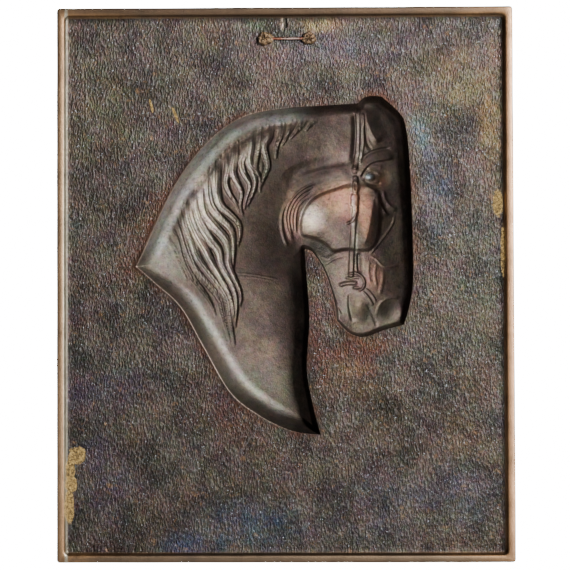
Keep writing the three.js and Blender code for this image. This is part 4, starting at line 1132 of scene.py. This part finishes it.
def bronze_finish():
    n = Nodes("bronze")
    hollow, grain = n.mark("hollow"), n.mark("grain")
    ragged = n.noise(150, 6, 0.8)
    upright = n.placed((0, 0, 0), GRAIN_TILT, (1, 1, GRAIN_LENGTH))
    lumps = n.math("ADD", n.times(n.cells(1000, 0.2, upright), 0.7), n.noise(1080, 3, 0.7, upright))
    shade = n.mix(hollow, field_colour(n, lumps), hollow_colour(n, ragged))

    # Rim and other edges worn to warm metal, with a painted highlight on the left rim's inner wall and
    # along the lip's left side, then crusts of ochre
    edge = n.mix(n.ramp(ragged, 0.4, 0.7), colour("a8825c"), colour("6f5a48"))
    wear_and_highlight = n.times(n.mark("rim"), n.ramp(n.noise(75, 4, 0.6), 0.25, 0.6, 0.5, 1))
    shade = n.mix(wear_and_highlight, shade, n.clouds(edge, RIM_CLOUDS_AND_PAINTED_HIGHLIGHT, 0.3))
    crust = crust_share(n)
    scale = n.mix(n.spots(620, 0.8, 0.38, 0.6), colour("5c4a30"), colour("d2b06c"))
    n.put(n.shader.inputs["Base Color"], n.mix(n.times(crust, 0.85), shade, scale))
    dull = n.math("MAXIMUM", n.times(hollow, HOLLOW_DULL), n.times(crust, 0.4))
    n.put(n.shader.inputs["Metallic"], n.math("SUBTRACT", 1, dull))
    rough = n.ramp(n.noise(420, 4, 0.65), 0.2, 0.8, 0.38, 0.52)
    rough = n.math("ADD", rough, n.times(hollow, HOLLOW_ROUGH))
    n.put(n.shader.inputs["Roughness"], n.math("MAXIMUM", rough, n.times(crust, 0.55)))

    coarse = n.bump(lumps, 0.0006, n.times(grain, 0.8))
    flaky = n.bump(n.noise(420, 5, 0.75), 0.003, n.times(crust, 0.9), Normal=coarse)
    pitted = n.bump(n.noise(320, 6, 0.8), 0.0006, n.times(hollow, 0.5), Normal=flaky)
    n.put(n.shader.inputs["Normal"], n.bump(n.noise(1000, 5, 0.7), 0.0003, 0.6, Normal=pitted))
    return n.material


def copper_finish():
    n = Nodes("copper")
    shade = n.mix(n.ramp(n.noise(180, 4, 0.6), 0.35, 0.7), colour("e8a48a"), colour("9a5846"))
    # Painted highlight: a pale pink-white patch in the middle of the wire
    shade = n.mix(n.times(n.patch(4, 19.4, 7, 3), 0.7), shade, colour("f6dcd4"))
    n.put(n.shader.inputs["Base Color"], shade)
    n.put(n.shader.inputs["Metallic"], 1.0)
    n.put(n.shader.inputs["Roughness"], n.ramp(n.noise(300, 3), 0.3, 0.7, 0.22, 0.36))
    n.put(n.shader.inputs["Normal"], n.bump(n.noise(700, 4), 0.0001, 0.6))
    return n.material


_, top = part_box("plaque_casting")
plaque = casting(top.y / MM - 0.02).build("bronze_relief", bronze_finish())
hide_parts("plaque_casting")
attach(plaque, "root")

wire = hanging_wire().build("copper_wire", copper_finish())
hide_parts("hanging_wire")
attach(wire, "root")

# Light, surroundings and camera
MIDDLE = (0, 0, -0.15)
FLOOR_DROP = 0.46
FLOOR_CORNERS = [(-2, -2), (2, -2), (2, 0.5), (-2, 0.5)]
SKY_SEEN = ((0.93, 0.93, 0.92, 1), 20)
SKY_LIGHT = ((0.8, 0.85, 0.9, 1), 0.004)
CAMERA_PLACE = (0.01246, -0.96706, -0.17382)
CAMERA_TURN = (91.366, 0.1925, 0.7452)
LENS = 100
SENSOR = 36


def area_light(name, place, size, power, tint):
    data = bpy.data.lights.new(name, "AREA")
    data.shape = "DISK"
    data.size = size
    data.energy = power
    data.color = tint
    lamp = add_object(name, data)
    lamp.location = place
    lamp.rotation_euler = (Vector(MIDDLE) - Vector(place)).to_track_quat("-Z", "Y").to_euler()


def towards(distance, height, turn):
    """A place off the plaque's middle: height above its plane and turn up from the right, in degrees."""
    up, side = math.radians(height), math.radians(turn)
    return (
        distance * math.cos(up) * math.cos(side), -distance * math.sin(up),
        distance * math.cos(up) * math.sin(side) + MIDDLE[2],
    )


area_light("key", towards(3, 50, 28), 0.6, 200, (1, 0.985, 0.96))
area_light("fill", towards(1.6, 70, 200), 1.4, 0.03, (0.9, 0.95, 1))

world = bpy.data.worlds.new("pale")
bpy.context.scene.world = world
world.use_nodes = True
tree = world.node_tree
seen, lit = tree.nodes["Background"], tree.nodes.new("ShaderNodeBackground")
for node, (tint, strength) in ((seen, SKY_SEEN), (lit, SKY_LIGHT)):
    node.inputs["Color"].default_value = tint
    node.inputs["Strength"].default_value = strength
blend = tree.nodes.new("ShaderNodeMixShader")
tree.links.new(tree.nodes.new("ShaderNodeLightPath").outputs["Is Camera Ray"], blend.inputs[0])
tree.links.new(lit.outputs[0], blend.inputs[1])
tree.links.new(seen.outputs[0], blend.inputs[2])
tree.links.new(blend.outputs[0], tree.nodes["World Output"].inputs["Surface"])

floor_mesh = bpy.data.meshes.new("floor")
floor_mesh.from_pydata([(x, y, -FLOOR_DROP) for x, y in FLOOR_CORNERS], [], [(0, 1, 2, 3)])
floor = add_object("floor", floor_mesh)
floor_material = bpy.data.materials.new("floor")
floor_material.use_nodes = True
floor_shader = floor_material.node_tree.nodes["Principled BSDF"]
floor_shader.inputs["Base Color"].default_value = (0.8, 0.8, 0.79, 1)
floor_shader.inputs["Roughness"].default_value = 0.9
floor_mesh.materials.append(floor_material)

camera_data = bpy.data.cameras.new("camera")
camera_data.lens = LENS
camera_data.sensor_width = SENSOR
camera = add_object("camera", camera_data)
camera.location = CAMERA_PLACE
camera.rotation_euler = [math.radians(a) for a in CAMERA_TURN]
bpy.context.scene.camera = camera
